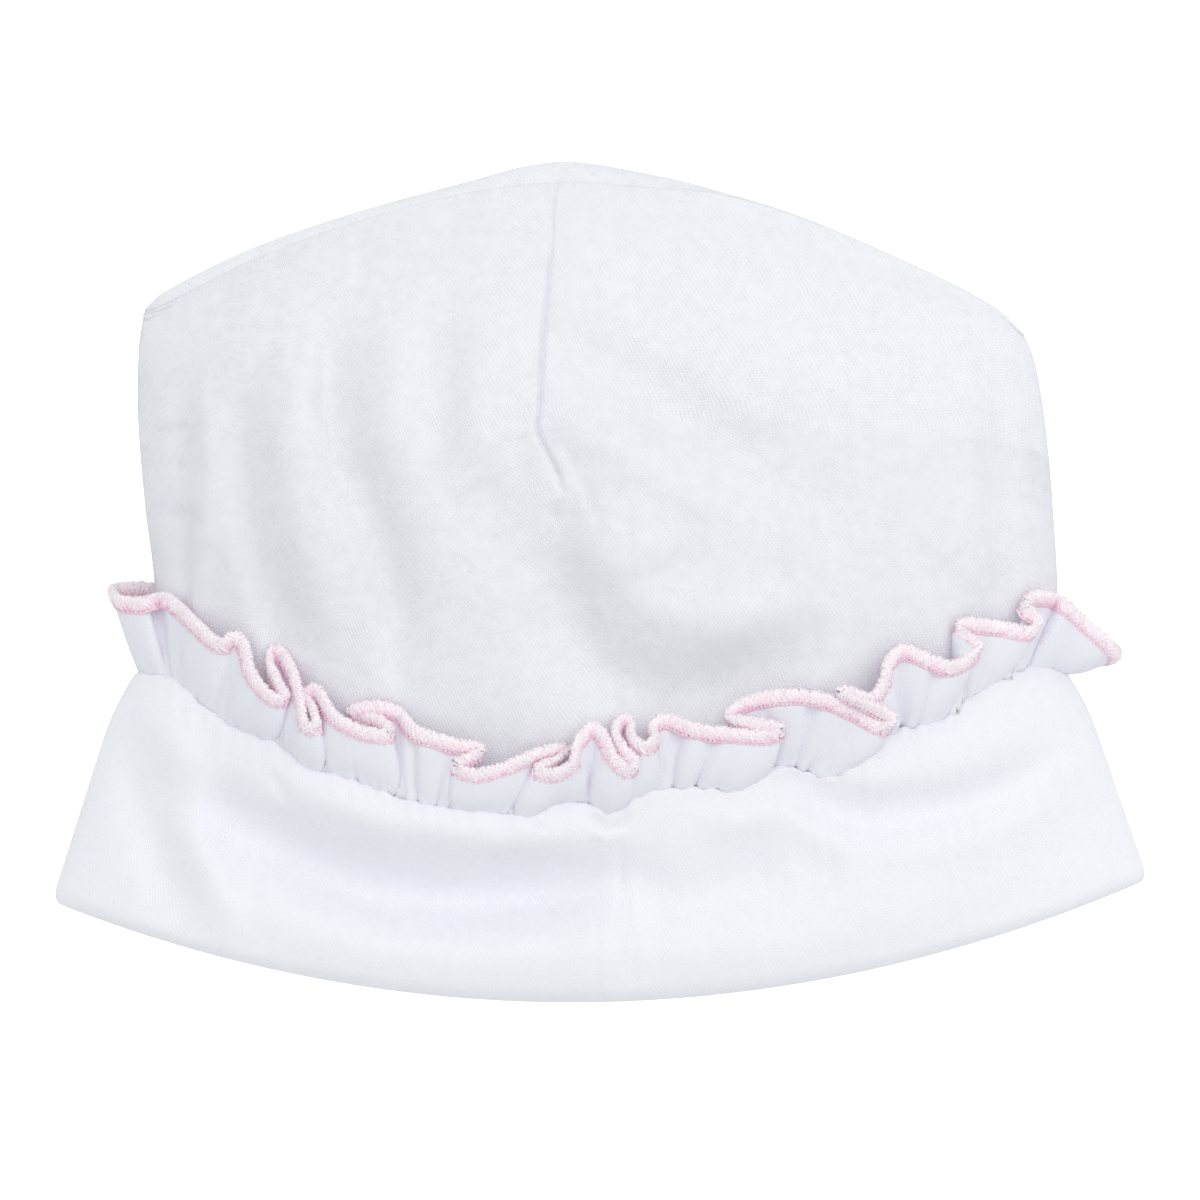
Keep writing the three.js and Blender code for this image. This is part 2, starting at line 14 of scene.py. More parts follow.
import bmesh
import bpy
import numpy as np
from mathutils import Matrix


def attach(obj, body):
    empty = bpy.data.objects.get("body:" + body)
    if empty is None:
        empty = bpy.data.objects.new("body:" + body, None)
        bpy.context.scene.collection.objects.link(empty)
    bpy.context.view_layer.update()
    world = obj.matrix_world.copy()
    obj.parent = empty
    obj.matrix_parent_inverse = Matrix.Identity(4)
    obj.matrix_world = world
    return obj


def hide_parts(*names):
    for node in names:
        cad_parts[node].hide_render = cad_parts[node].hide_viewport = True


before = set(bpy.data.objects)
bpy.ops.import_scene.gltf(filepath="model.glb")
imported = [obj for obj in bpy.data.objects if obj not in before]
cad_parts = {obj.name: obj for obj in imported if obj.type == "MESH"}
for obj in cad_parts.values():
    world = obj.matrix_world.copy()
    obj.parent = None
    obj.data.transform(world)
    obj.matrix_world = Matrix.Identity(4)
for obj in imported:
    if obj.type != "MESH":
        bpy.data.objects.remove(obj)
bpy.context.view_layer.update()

LOG = logging.getLogger("hat")
MM = 0.001
TAU = 2 * math.pi
FLATNESS = 0.6  # power that flattens the edging's section
Array = np.ndarray
Values = np.ndarray | float
Table = tuple[tuple[float, ...], ...]
Colour = tuple[float, float, float, float]
Piece = bpy.types.Object
Material = bpy.types.Material
Socket = bpy.types.NodeSocket


# Shapes from small tables


@dataclass(frozen=True)
class Curve:
    """A smooth curve through the rows of a small table."""

    keys: tuple[float, ...]
    values: tuple[float, ...]

    def __call__(self, at: Values) -> Array:
        """Reads the curve.

        Args:
            at: key values; beyond the table's ends the end values hold.

        Returns:
            The curve's values there.
        """
        x, y = np.asarray(self.keys), np.asarray(self.values)
        before, after = np.r_[0, 0 : len(x) - 1], np.r_[1 : len(x), len(x) - 1]
        slopes = (y[after] - y[before]) / (x[after] - x[before])
        i = np.clip(np.searchsorted(x, at) - 1, 0, len(x) - 2)
        span = x[i + 1] - x[i]
        t = np.clip((at - x[i]) / span, 0, 1)
        return (
            y[i] * (2 * t**3 - 3 * t**2 + 1)
            + slopes[i] * span * (t**3 - 2 * t**2 + t)
            + y[i + 1] * (3 * t**2 - 2 * t**3)
            + slopes[i + 1] * span * (t**3 - t**2)
        )


def column(table: Table, place: int) -> Curve:
    """Makes a curve of one column of a table over its first one, which ascends."""
    return Curve(tuple(r[0] for r in table), tuple(r[place] for r in table))


def mix(a: Values, b: Values, t: Values) -> Array:
    """Goes from a at t = 0 to b at t = 1."""
    return a + (b - a) * t


def ease(x: Values, low: float, high: float) -> Array:
    """Rises smoothly from 0 at low to 1 at high."""
    t = np.clip((np.asarray(x, float) - low) / (high - low), 0, 1)
    return t * t * (3 - 2 * t)


def bell(x: Array, width: Values) -> Array:
    """Is 1 where x is 0 and fades to both sides over the width."""
    return np.exp(-((x / width) ** 2))


def lengths(points: Array) -> Array:
    """Gives the length along a line of points up to each of them."""
    return np.r_[0, np.cumsum(np.linalg.norm(np.diff(points, axis=0), axis=1))]


def unit(vectors: Array) -> Array:
    """Scales vectors to a length of 1."""
    return vectors / np.linalg.norm(vectors, axis=-1, keepdims=True)


def ripple(x: Array, pitch: float, drift: float) -> Array:
    """Gives an uneven wave between -1 and 1, for gathers and puckers.

    Args:
        x: places along the wave.
        pitch: mean length of a wave.
        drift: how far its crests stray, in waves.

    Returns:
        The wave's height.
    """
    stray = drift * (np.sin(x / (pitch * 1.7) + 0.6) + 0.7 * np.sin(x / (pitch * 4.1) + 2.1))
    return np.sin(TAU * (x / pitch + stray)) * (0.75 + 0.25 * np.sin(x / (pitch * 2.3) + 1.0))


@dataclass(frozen=True)
class Fold:
    """A soft fold of the cloth: its line in plan, which it fades along at both ends.

    A valley has a negative rise. The side on the right of the line is the steeper one by skew.
    """

    line: tuple[tuple[float, float], ...]
    width: float
    rise: float
    skew: float = 0.0
    fade: float = 0.22

    def height(self, x: Array, y: Array) -> Array:
        """Gives the fold's height over places in plan.

        Args:
            x: places across the hat.
            y: places along the hat.

        Returns:
            Heights in millimetres.
        """
        steps = [math.dist(a, b) for a, b in zip(self.line, self.line[1:])]
        total = sum(steps)
        nearest = np.full(np.shape(x), np.inf)
        share = np.zeros(np.shape(x))
        wide = np.full(np.shape(x), self.width)
        gone = 0.0
        for (ax, ay), (bx, by), step in zip(self.line, self.line[1:], steps):
            t = np.clip(((x - ax) * (bx - ax) + (y - ay) * (by - ay)) / step**2, 0, 1)
            away = np.hypot(x - mix(ax, bx, t), y - mix(ay, by, t))
            left = np.sign((bx - ax) * (y - ay) - (by - ay) * (x - ax))
            closer = away < nearest
            nearest = np.where(closer, away, nearest)
            share = np.where(closer, (gone + t * step) / total, share)
            wide = np.where(closer, self.width * (1 + self.skew * left), wide)
            gone += step
        ends = ease(np.minimum(share, 1 - share), -0.12, self.fade)
        return self.rise * ends * bell(nearest, wide)


def folded(folds: tuple[Fold, ...], x: Array, y: Array) -> Array:
    """Adds up the heights of several folds over places in plan."""
    return sum((f.height(x, y) for f in folds), np.zeros(np.shape(x)))


def spread(count: int, crowding: float) -> Array:
    """Gives places across a panel, closer at the sides and, if asked, along the middle.

    Args:
        count: how many faces across.
        crowding: along the middle, from 0 for none up to 1.

    Returns:
        Values from -1 to 1.
    """
    a = np.linspace(-1, 1, count + 1)
    even = mix(a, np.sin(a * math.pi / 2), 0.8)
    return np.sign(even) * np.abs(even) ** (1 + crowding)


# Meshes


def cloth_mesh(name: str, points: Array, uv: Array, closed: bool = False) -> Piece:
    """Makes a piece from a grid whose vertices are moved to their places.

    Args:
        name: the piece's name.
        points: places in millimetres, rows by columns by 3.
        uv: pattern coordinates in metres, rows by columns by 2.
        closed: the last row or column meets the first.

    Returns:
        The object, at the origin, with its place in its mesh.
    """
    rows, cols = points.shape[:2]
    bm = bmesh.new()
    bmesh.ops.create_grid(bm, x_segments=cols - 1, y_segments=rows - 1, size=1)
    bm.verts.ensure_lookup_table()
    order = np.array([v.co.to_tuple() for v in bm.verts])
    j = np.rint((order[:, 0] + 1) / 2 * (cols - 1)).astype(int)
    i = np.rint((order[:, 1] + 1) / 2 * (rows - 1)).astype(int)
    for vert, place in zip(bm.verts, (points * MM)[i, j]):
        vert.co = place
    layer = bm.loops.layers.uv.new("Cloth")
    place_uv = uv[i, j]
    for face in bm.faces:
        for loop in face.loops:
            loop[layer].uv = place_uv[loop.vert.index]
        face.smooth = True
    if closed:
        bmesh.ops.remove_doubles(bm, verts=bm.verts, dist=1e-7)
    mesh = bpy.data.meshes.new(name)
    bm.to_mesh(mesh)
    bm.free()
    piece = bpy.data.objects.new(name, mesh)
    bpy.context.scene.collection.objects.link(piece)
    return piece


def ribbons_mesh(name: str, points: Array, rise: Array) -> Piece:
    """Makes many thin ribbons of one grid, whose faces between ribbons are deleted.

    Args:
        name: the piece's name.
        points: places in millimetres, ribbons by 2 edges by places along them by 3.
        rise: a value for each place along each ribbon, kept for the finish.

    Returns:
        The object.
    """
    count, _, steps = points.shape[:3]
    rows = points.reshape(count * 2, steps, 3)
    uv = np.zeros((count * 2, steps, 2))
    uv[..., 0] = np.arange(steps) * 0.0002
    piece = cloth_mesh(name, rows, uv)
    bm = bmesh.new()
    bm.from_mesh(piece.data)
    bm.faces.ensure_lookup_table()
    between = [f for f in bm.faces if (f.index // (steps - 1)) % 2 == 1]
    bmesh.ops.delete(bm, geom=between, context="FACES")
    bm.to_mesh(piece.data)
    bm.free()
    keep_rise(piece, np.repeat(rise[:, None], 2, axis=1).ravel(), "POINT")
    return piece


def cloth_uv(points: Array) -> Array:
    """Measures pattern coordinates along a cloth, so that its knit is the same size all over.

    Args:
        points: places in millimetres, rows by columns by 3.

    Returns:
        Metres along each row from its middle and up each column from the first row.
    """
    across = np.linalg.norm(np.diff(points, axis=1), axis=2)
    up = np.linalg.norm(np.diff(points, axis=0), axis=2)
    u = np.concatenate([np.zeros((len(points), 1)), np.cumsum(across, axis=1)], axis=1)
    v = np.concatenate([np.zeros((1, points.shape[1])), np.cumsum(up, axis=0)], axis=0)
    u = u - u[:, [points.shape[1] // 2]]
    return np.stack([u, v], axis=2) * MM


def wall(piece: Piece, thickness: float, offset: float) -> None:
    """Gives a cloth its thickness.

    Args:
        piece: the cloth, one layer of faces.
        thickness: in millimetres.
        offset: -1 puts the wall behind the faces, 0 on both sides.
    """
    solid = piece.modifiers.new("Wall", "SOLIDIFY")
    solid.thickness = thickness * MM
    solid.offset = offset
    solid.use_even_offset = False


# Finishes


class Nodes:
    """Builds a material's nodes."""

    def __init__(self, name: str) -> None:
        """Starts a material with a Principled shader.

        Args:
            name: the material's name.
        """
        self.material = bpy.data.materials.new(name)
        self.material.use_nodes = True
        self.tree = self.material.node_tree
        self.shader = self.tree.nodes["Principled BSDF"]

    def link(self, value: object, socket: Socket) -> None:
        """Sets or links a socket.

        Args:
            value: a number, a colour or another socket.
            socket: the one that takes it.
        """
        if isinstance(value, Socket):
            self.tree.links.new(value, socket)
        else:
            socket.default_value = value

    def add(self, kind: str, **inputs: object) -> bpy.types.Node:
        """Adds a node.

        Args:
            kind: of node.
            inputs: values or sockets for its own sockets, by their names.

        Returns:
            The node.
        """
        node = self.tree.nodes.new(f"ShaderNode{kind}")
        for name, value in inputs.items():
            self.link(value, node.inputs[name])
        return node

    def math(self, operation: str, *values: object) -> Socket:
        """Adds a Math node.

        Args:
            operation: what it does.
            values: numbers or sockets.

        Returns:
            Its result.
        """
        node = self.add("Math")
        node.operation = operation
        for socket, value in zip(node.inputs, values):
            self.link(value, socket)
        return node.outputs[0]

    def scaled(self, value: object, by: object, plus: object) -> Socket:
        """Multiplies a value and adds to it."""
        return self.math("MULTIPLY_ADD", value, by, plus)

    def clamped(self, value: Socket) -> Socket:
        """Keeps a value between 0 and 1."""
        return self.math("MINIMUM", self.math("MAXIMUM", value, 0.0), 1.0)

    def blend(self, factor: object, a: object, b: object) -> Socket:
        """Mixes two colours.

        Args:
            factor: 0 for the first and 1 for the second.
            a: the first colour.
            b: the second colour.

        Returns:
            The mixed colour.
        """
        node = self.add("Mix")
        node.data_type = "RGBA"
        for name, value in zip(("Factor", "A", "B"), (factor, a, b)):
            self.link(value, node.inputs[name])
        return node.outputs["Result"]

    def openness(self, reach: float, samples: int) -> Socket:
        """Tells places in the open from those with other cloth or thread close over them.

        Args:
            reach: how far off that still counts, in metres.
            samples: how often it is tested.

        Returns:
            1 in the open and 0 in a closed hollow.
        """
        node = self.add("AmbientOcclusion", Distance=reach)
        node.samples = samples
        return node.outputs["AO"]

    def uv(self) -> tuple[Socket, Socket, Socket]:
        """Gives the cloth's own coordinates.

        Returns:
            The vector, along and up.
        """
        source = self.add("UVMap")
        source.uv_map = "Cloth"
        split = self.add("SeparateXYZ", Vector=source.outputs[0])
        return source.outputs[0], split.outputs[0], split.outputs[1]

    def noise(self, vector: Socket, scale: float, detail: float) -> Socket:
        """Adds a noise of so many features a metre and gives its value."""
        return self.add("TexNoise", Vector=vector, Scale=scale, Detail=detail).outputs["Fac"]

    def object_place(self) -> Socket:
        """Gives the object's own coordinates."""
        return self.add("TexCoord").outputs["Object"]

    def bumped(self, height: Socket, distance: float, strength: float) -> Socket:
        """Gives the direction of a surface with a relief of so many metres."""
        return self.add("Bump", Height=height, Distance=distance, Strength=strength).outputs[0]

    def finished(self, sockets: dict[str, object]) -> Material:
        """Sets or links the shader's sockets.

        Args:
            sockets: values or sockets for them, by their names.

        Returns:
            The material.
        """
        for name, value in sockets.items():
            self.link(value, self.shader.inputs[name])
        return self.material


@dataclass(frozen=True)
class KnitFinish:
    """Interlock knit: fine columns of slanting stitches, soft and dull, with a few specks of lint.

    Its stitches are painted darker in their grooves and on one leg, as painted shade, and its hollows glow
    a little in lavender, painted light where other cloth lies close over them.
    """

    name: str
    light: Colour = (0.935, 0.915, 0.974, 1)
    shade: Colour = (0.865, 0.846, 0.927, 1)
    lint: Colour = (0.52, 0.52, 0.56, 1)
    # hollow: colour of the painted light that glows in the knit's hollows
    hollow: Colour = (0.93, 0.82, 1.0, 1)
    relief: float = 0.00014
    wale: float = 0.00064
    course: float = 0.00056
    twill: float = 0.3
    lean: float = 0.55
    slant: float = 0.55
    # groove and leg_loss: how much lower, and darker as painted shade, the grooves between columns and one
    # leg of each stitch are
    groove: float = 0.6
    leg_loss: float = 0.3
    stitch_share: float = 0.6
    fibre_scale: float = 5200
    uneven_scale: float = 420
    patch_scale: float = 55
    lint_scale: float = 95
    lint_size: float = 0.02
    lint_rarity: float = 0.72
    lint_strength: float = 0.35
    # reach and glow: how near cloth counts as over the knit, and how strong the painted glow in its hollows
    # is
    reach: float = 0.006
    glow: float = 0.05
    sheen: float = 0.5

    def make(self) -> Material:
        """Builds the material.

        Returns:
            The material.
        """
        n = Nodes(self.name)
        vector, along, up = n.uv()
        along = n.scaled(up, self.lean, along)
        columns_along = n.math("DIVIDE", along, self.wale)
        side = n.math("FRACT", columns_along)
        off = n.math("MULTIPLY", n.math("ABSOLUTE", n.math("SUBTRACT", side, 0.5)), 2.0)
        shifted = n.scaled(n.math("FLOOR", columns_along), self.twill, n.math("DIVIDE", up, self.course))
        turn = n.scaled(n.math("FRACT", n.scaled(off, self.slant, shifted)), 2.0, -1.0)
        loop = n.math("SUBTRACT", 1.0, n.math("MULTIPLY", turn, turn))
        column = n.math("SUBTRACT", 1.0, n.math("MULTIPLY", n.math("POWER", off, 3.0), self.groove))
        leg = n.scaled(n.math("GREATER_THAN", side, 0.5), -self.leg_loss, 1.0)
        stitch = n.scaled(n.math("MULTIPLY", loop, leg), self.stitch_share, 1 - self.stitch_share)
        stitch = n.math("MULTIPLY", stitch, column)
        place = n.object_place()
        uneven = n.scaled(n.noise(place, self.uneven_scale, 2), 1.6, 0.1)
        stitch = n.scaled(n.math("SUBTRACT", stitch, 0.5), uneven, 0.5)
        tone = n.scaled(n.noise(place, self.patch_scale, 3), 0.3, -0.1)
        lit = n.clamped(n.math("ADD", n.scaled(stitch, 0.75, 0.15), tone))
        # painted shade: each stitch is coloured darker in its groove and on one leg and paler on its loop;
        # the patch noise is a random tone
        cloth = n.blend(lit, self.shade, self.light)
        fibre = n.noise(vector, self.fibre_scale, 2)
        return n.finished({
            "Base Color": n.blend(self.specks(n, place), cloth, self.lint),
            # painted light: the knit glows lavender in its hollows, more the closer other cloth lies over
            # it
            "Emission Color": self.hollow,
            "Emission Strength": n.scaled(n.openness(self.reach, 1), -self.glow, self.glow),
            "Roughness": n.scaled(fibre, 0.16, 0.8),
            "Normal": n.bumped(n.scaled(fibre, 0.5, stitch), self.relief, 0.55),
            "Sheen Weight": self.sheen,
            "Sheen Roughness": 0.35,
            "Specular IOR Level": 0.2,
        })

    def specks(self, n: Nodes, place: Socket) -> Socket:
        """Gives the few specks of lint.

        Args:
            n: the material's nodes.
            place: the object's own coordinates.

        Returns:
            How much of the lint's colour shows.
        """
        speck = n.add("TexVoronoi", Vector=place, Scale=self.lint_scale)
        near = n.math("LESS_THAN", speck.outputs["Distance"], self.lint_size)
        chance = n.add("SeparateColor", Color=speck.outputs["Color"]).outputs[0]
        few = n.math("GREATER_THAN", chance, self.lint_rarity)
        return n.math("MULTIPLY", n.math("MULTIPLY", near, few), self.lint_strength)


@dataclass(frozen=True)
class ThreadFinish:
    """Soft twisted thread: plies along it, paler and fuzzier towards the free edge of the edging.

    It glows a little in its own colour, painted light, and is painted deeper pink where thread or cloth
    lies close over it, as painted shade.
    """

    name: str
    light: Colour
    deep: Colour
    ply: float = 0.00055
    fuzz_scale: float = 3600
    patch_scale: float = 900
    relief: float = 0.00012
    # reach: how near thread or cloth counts as over the thread, for its painted shade; glow: strength of
    # its painted glow
    reach: float = 0.0028
    glow: float = 0.05
    sheen: float = 0.4

    def make(self) -> Material:
        """Builds the material.

        Returns:
            The material.
        """
        n = Nodes(self.name)
        _, along, around = n.uv()
        rise = n.add("Attribute")
        rise.attribute_name = "Rise"
        twist = n.math("ADD", around, n.math("DIVIDE", along, self.ply))
        ply = n.scaled(n.math("SINE", n.math("MULTIPLY", twist, TAU)), 0.5, 0.5)
        place = n.object_place()
        fuzz = n.noise(place, self.fuzz_scale, 3)
        patch = n.noise(place, self.patch_scale, 2)
        lit = n.scaled(ply, 0.2, n.scaled(patch, 1.2, -0.6))
        lit = n.math("ADD", lit, n.scaled(rise.outputs["Fac"], 1.3, 0.1))
        # painted shade: the thread turns deeper pink and darker where thread or cloth lies close over it,
        # and paler in the open
        lit = n.math("SUBTRACT", lit, n.scaled(n.openness(self.reach, 4), -0.8, 0.55))
        colour = n.blend(n.clamped(lit), self.deep, self.light)
        return n.finished({
            "Base Color": colour,
            # painted light: the thread glows a little in its own colour
            "Emission Color": colour,
            "Emission Strength": self.glow,
            "Roughness": n.scaled(fuzz, 0.2, 0.75),
            "Normal": n.bumped(n.scaled(fuzz, 0.8, ply), self.relief, 0.6),
            "Sheen Weight": self.sheen,
            "Sheen Roughness": 0.5,
            "Specular IOR Level": 0.2,
        })


@dataclass(frozen=True)
class FloorFinish:
    """A plain pale studio floor, which glows white for the camera and a little on to the hat."""

    name: str = "pale_floor"
    colour: Colour = (0.86, 0.86, 0.87, 1)
    darker: float = 0.985
    glow: float = 0.65
    spill: float = 0.15

    def make(self) -> Material:
        """Builds the material.

        Returns:
            The material.
        """
        n = Nodes(self.name)
        shade = tuple(self.darker * c for c in self.colour[:3]) + (1,)
        seen = n.add("LightPath").outputs["Is Camera Ray"]
        return n.finished({
            "Base Color": n.blend(n.noise(n.object_place(), 9, 2), shade, self.colour),
            "Roughness": 0.9,
            "Specular IOR Level": 0.1,
            "Emission Color": (1, 1, 1, 1),
            "Emission Strength": n.scaled(seen, self.glow, self.spill),
        })


# The hat's form


class Face(Enum):
    """The two sides of the hat as it lies."""

    FRONT = 1
    BACK = -1


@dataclass(frozen=True)
class HatForm:
    """The sizes that the pieces share, in millimetres, and the surfaces that they follow."""

    knit: float = 1.2
    cuff_wall: float = 2.0
    layer_gap: float = 0.6
    brim_half: float = 99.0
    brim_front: float = 31.0
    brim_side: float = 9.0
    top_half: float = 85.5
    top_front: float = 35.0
    top_side: float = 9.5
    cuff_height: float = 37.0
    neck_left: float = 5.0
    neck_right: float = 3.5
    neck_front: float = 3.4
    side_height: float = 8.5
    seam_rise: float = 4.2
    seam_turn: float = math.radians(60)
    roll: float = 8.5
    back_clearance: float = 6.0
    fall_from: float = 18.5
    fall_to: float = 33.0
    # x, y and how far the arch seam lies in front of the outline
    arch: Table = (
        (-81.9, 49.2, 0.6), (-78.5, 52.2, 2.4), (-63, 59.9, 2.3), (-45, 66.2, 1.9), (-27, 71.2, 2.0),
        (-8, 75.6, 3.8), (9, 73.4, 2.6), (21, 70.5, 0.7), (36, 65.8, 0.2), (54, 58.2, 0.1),
        (66, 52.4, 0.1), (72.5, 48.4, 0.1), (76.3, 44.6, 0.1),
    )
    # v, left, left y, right, right y and the height of the front along its middle
    crown_rows: Table = (
        (0, -80.5, -17.4, 82, -16.6, 31.8),
        (0.18, -80.1, -3, 82.4, -4, 36.5),
        (0.4, -81.9, 13, 81.7, 10.5, 40),
        (0.65, -83.2, 30, 80.4, 26, 36.8),
        (0.85, -83, 42, 78.6, 38, 26.8),
        (0.95, -82.3, 47, 77.2, 42.6, 18),
        (1, -81.9, 49.2, 76.3, 44.6, 12.9),
    )
    # x and y of the cuff's top edge
    cuff_edge: Table = (
        (-85.5, -15.9), (-79.2, -17.2), (-73.8, -21.3), (-68, -25.7), (-60.8, -28), (-54.5, -32.4),
        (-45, -35.2), (-34.2, -39), (-25, -40.4), (-17.5, -40.9), (-13, -41.6), (-9.5, -39.6),
        (-6, -38.9), (-1.8, -39.4), (1.6, -41), (5.2, -38.9), (9.5, -37.2), (18, -36.4),
        (25, -37.1), (28.5, -35.4), (32.5, -32.9), (37.5, -33.5), (42, -34.8), (45.5, -33.4),
        (49, -30.4), (54.5, -26.5), (63, -24.8), (66, -22.6), (70, -19.6), (79, -15.2),
        (85.5, -15.4),
    )
    # y and x of the front dart's seam, from its point up to the arch seam
    dart: Table = (
        (16.1, -6.7), (19.7, -7.7), (24.2, -9.9), (27.3, -11.1), (30.7, -10.7),
        (45.3, -9.9), (53.7, -9.2), (61.5, -8.6), (68, -8.4), (71.4, -7.6),
    )
    dive: float = 0.4
    dive_at: float = 12
    dive_width: float = 10
    corner: float = 2.2
    corner_from: float = 0.7
    corner_span: float = 0.3
    dome_across: float = 2.3
    dome_rise: float = 0.6
    brim_middle: float = -75.1
    brim_tilt: float = 0.02
    brim_bow: float = 0.0019
    # line in plan, width, rise, and skew if any, of each fold
    cuff_folds: tuple[Fold, ...] = (
        Fold(((-82.8, -17.7), (-76.3, -28.5), (-72, -39.3), (-69.1, -50.1), (-66.2, -60.9)), 4.2, 1.8),
        Fold(((-69.5, -39.3), (-65.5, -48.3), (-61.9, -59.1)), 3.4, -1.5),
        Fold(((-90.4, -21.3), (-85, -33.9), (-80.6, -45.6), (-73.8, -60.9)), 4.6, -2.3),
        Fold(((-72, -37.9), (-62.6, -45.1), (-52.9, -51.2), (-40, -55.5), (-25.2, -57.3), (-10.8, -56.2),
              (3.6, -53.4)), 5.5, -8.6),
        Fold(((-69.3, -57.3), (-36, -65.8), (0, -67.8), (36, -64), (67.5, -53.7)), 9, 3.2),
        Fold(((-57.6, -35), (-37.8, -42.6), (-18, -45.4), (-1.8, -44.7)), 4.2, 2.6),
        Fold(((-64.8, -37.5), (-60.8, -50.1)), 4, 0.9),
        Fold(((33.3, -33), (37.4, -37.9), (42.3, -41.1), (48.6, -42.4), (57.6, -41.7), (66.6, -39.9),
              (74.7, -36.8), (81.9, -31)), 4.2, -3),
        Fold(((43.2, -36.8), (54, -33.9), (64.8, -31.8), (75.6, -26)), 4.6, 1.2),
        Fold(((45, -46.9), (59.4, -46.2), (72, -42.2), (85.5, -33)), 4.6, 1.6),
        Fold(((5.4, -57.3), (18, -57.3), (34.2, -52.3)), 6, -2.6),
        Fold(((16.2, -43.3), (34.2, -41.5), (45, -48), (46.8, -57.3)), 3.6, 1.2),
        Fold(((84.2, -33.9), (86.4, -51.9)), 5, -0.7),
    )
    crown_folds: tuple[Fold, ...] = (
        Fold(((-63.4, 34.5), (-64.3, 23.7), (-63.4, 12.9), (-60.8, 2.1), (-57.6, -10.5), (-55.8, -15.9)),
             4.2, -3.4, 0.35),
        Fold(((-67.3, 32.7), (-68, 14.7), (-67, -3.3)), 5.5, 0.6),
        Fold(((-47.9, 47.1), (-48.6, 32.7), (-47.2, 21.9), (-43.6, 13.8), (-40.3, 6.6), (-37.8, -3.3),
              (-36.4, -15.9)), 4.2, -4.1, 0.4),
        Fold(((-54.7, 45.3), (-56.2, 27.3), (-54, 11.1), (-50, 0.3), (-45.9, -14.1)), 4.6, 1.8),
        Fold(((-28.8, 47.1), (-29.9, 36.3), (-29.9, 21.9)), 4.4, -2.2, 0.2),
        Fold(((-19.4, 50.7), (-22, 32.7), (-23.4, 20.1)), 4.4, 1.2),
        Fold(((-36.7, 43.5), (-36, 25.5), (-31.7, 7.5)), 4.6, 1.4),
        Fold(((-8.6, 47.1), (-3.6, 40.6), (4.7, 35.5), (13.7, 30.1), (23.4, 23.3), (31.5, 17.2)), 6, -3.6),
        Fold(((-9.4, 28.2), (3.6, 24), (16.2, 16.5), (23.4, 11.1)), 4.6, 1.7),
        Fold(((-9.4, 6.6), (-6.8, -6.9), (0.4, -16.3), (11.5, -20.6), (23, -18.4), (36, -12.3)), 6.2, -4.5),
        Fold(((-2.5, 15), (1.1, 4.2), (9.4, -4.8), (20.9, -8), (35.3, -4.4)), 5.5, 2.1),
        Fold(((-6.8, 70.5), (-7.9, 50.7), (-8.8, 32.7)), 5.5, 0.9),
        Fold(((2.2, 22.6), (6.8, 11.8), (10.8, 1.7)), 8, 2.5),
        Fold(((-21.6, 18.3), (-18, 9.3), (-13.7, -1.5)), 6, -1.5),
        Fold(((34.2, 54.3), (46.8, 44.4), (63, 38.1)), 6, -1),
        Fold(((16.2, 61.5), (25.2, 54.3), (34.2, 47.1)), 5, -0.8),
        Fold(((30.6, 32.7), (38.7, 18.3), (42.3, 3.9)), 6, -0.9),
        Fold(((74.9, 36.3), (75.1, 20.1), (75.4, 9.3), (75.8, -6.9)), 2.4, 1),
        Fold(((71.3, 32.7), (71.6, 18.3), (72, -6.9)), 3.2, -2.2),
        Fold(((-70.6, 34.5), (-70.9, 25.5), (-71.3, 11.1), (-72.2, 2.1), (-73.1, -10.5)), 2.4, 1.5),
        Fold(((-73.8, 14.7), (-74.2, 3.9), (-74.5, -10.5)), 1.3, -1.8),
        Fold(((25.2, 66.5), (36, 62), (50.4, 56.6), (67.3, 49.6)), 1.8, -1),
        Fold(((-74.2, 34.5), (-74.9, 18.3), (-75.6, -6.9)), 2.6, -2.1),
        Fold(((-82.8, 26.2), (-70.9, 26.9)), 1.6, -1.7),
        Fold(((-81, 12.5), (-70.9, 11.1)), 1.7, -1.4),
        Fold(((-77.4, 50.7), (-69.3, 45.3), (-61.2, 34.5)), 6, 0.9),
        Fold(((59.4, 3.9), (65.7, -3.3), (69.3, -12.3)), 4, -1),
    )

    def dome(self, u: Array) -> Array:
        """Gives the front's cross-section: 1 in the middle and 0 at the sides, where u is -1 and 1."""
        return np.maximum(1 - np.abs(u) ** self.dome_across, 0) ** self.dome_rise

    def side_roll(self, u: Array, half: Values) -> Array:
        """Gives the back's cross-section: 0 where it lies flat and 1 at the sides."""
        inside = np.clip(1 - (1 - np.abs(u)) * half / self.roll, 0, 1)
        return 1 - np.sqrt(1 - inside**2)

    def brim_y(self, x: Array) -> Array:
        """Gives the brim's place along the hat at places across it."""
        return self.brim_middle + self.brim_tilt * x + self.brim_bow * x * x

    def edge_y(self, x: Array) -> Array:
        """Gives the cuff's top edge at places across the hat."""
        return column(self.cuff_edge, 1)(x)

    def rounding(self, t: Array) -> Array:
        """Gives how far the cuff's corners are rounded off, from the brim at t = 0 to the top edge at 1."""
        return self.corner * np.clip((np.asarray(t) - self.corner_from) / self.corner_span, 0, 1) ** 2

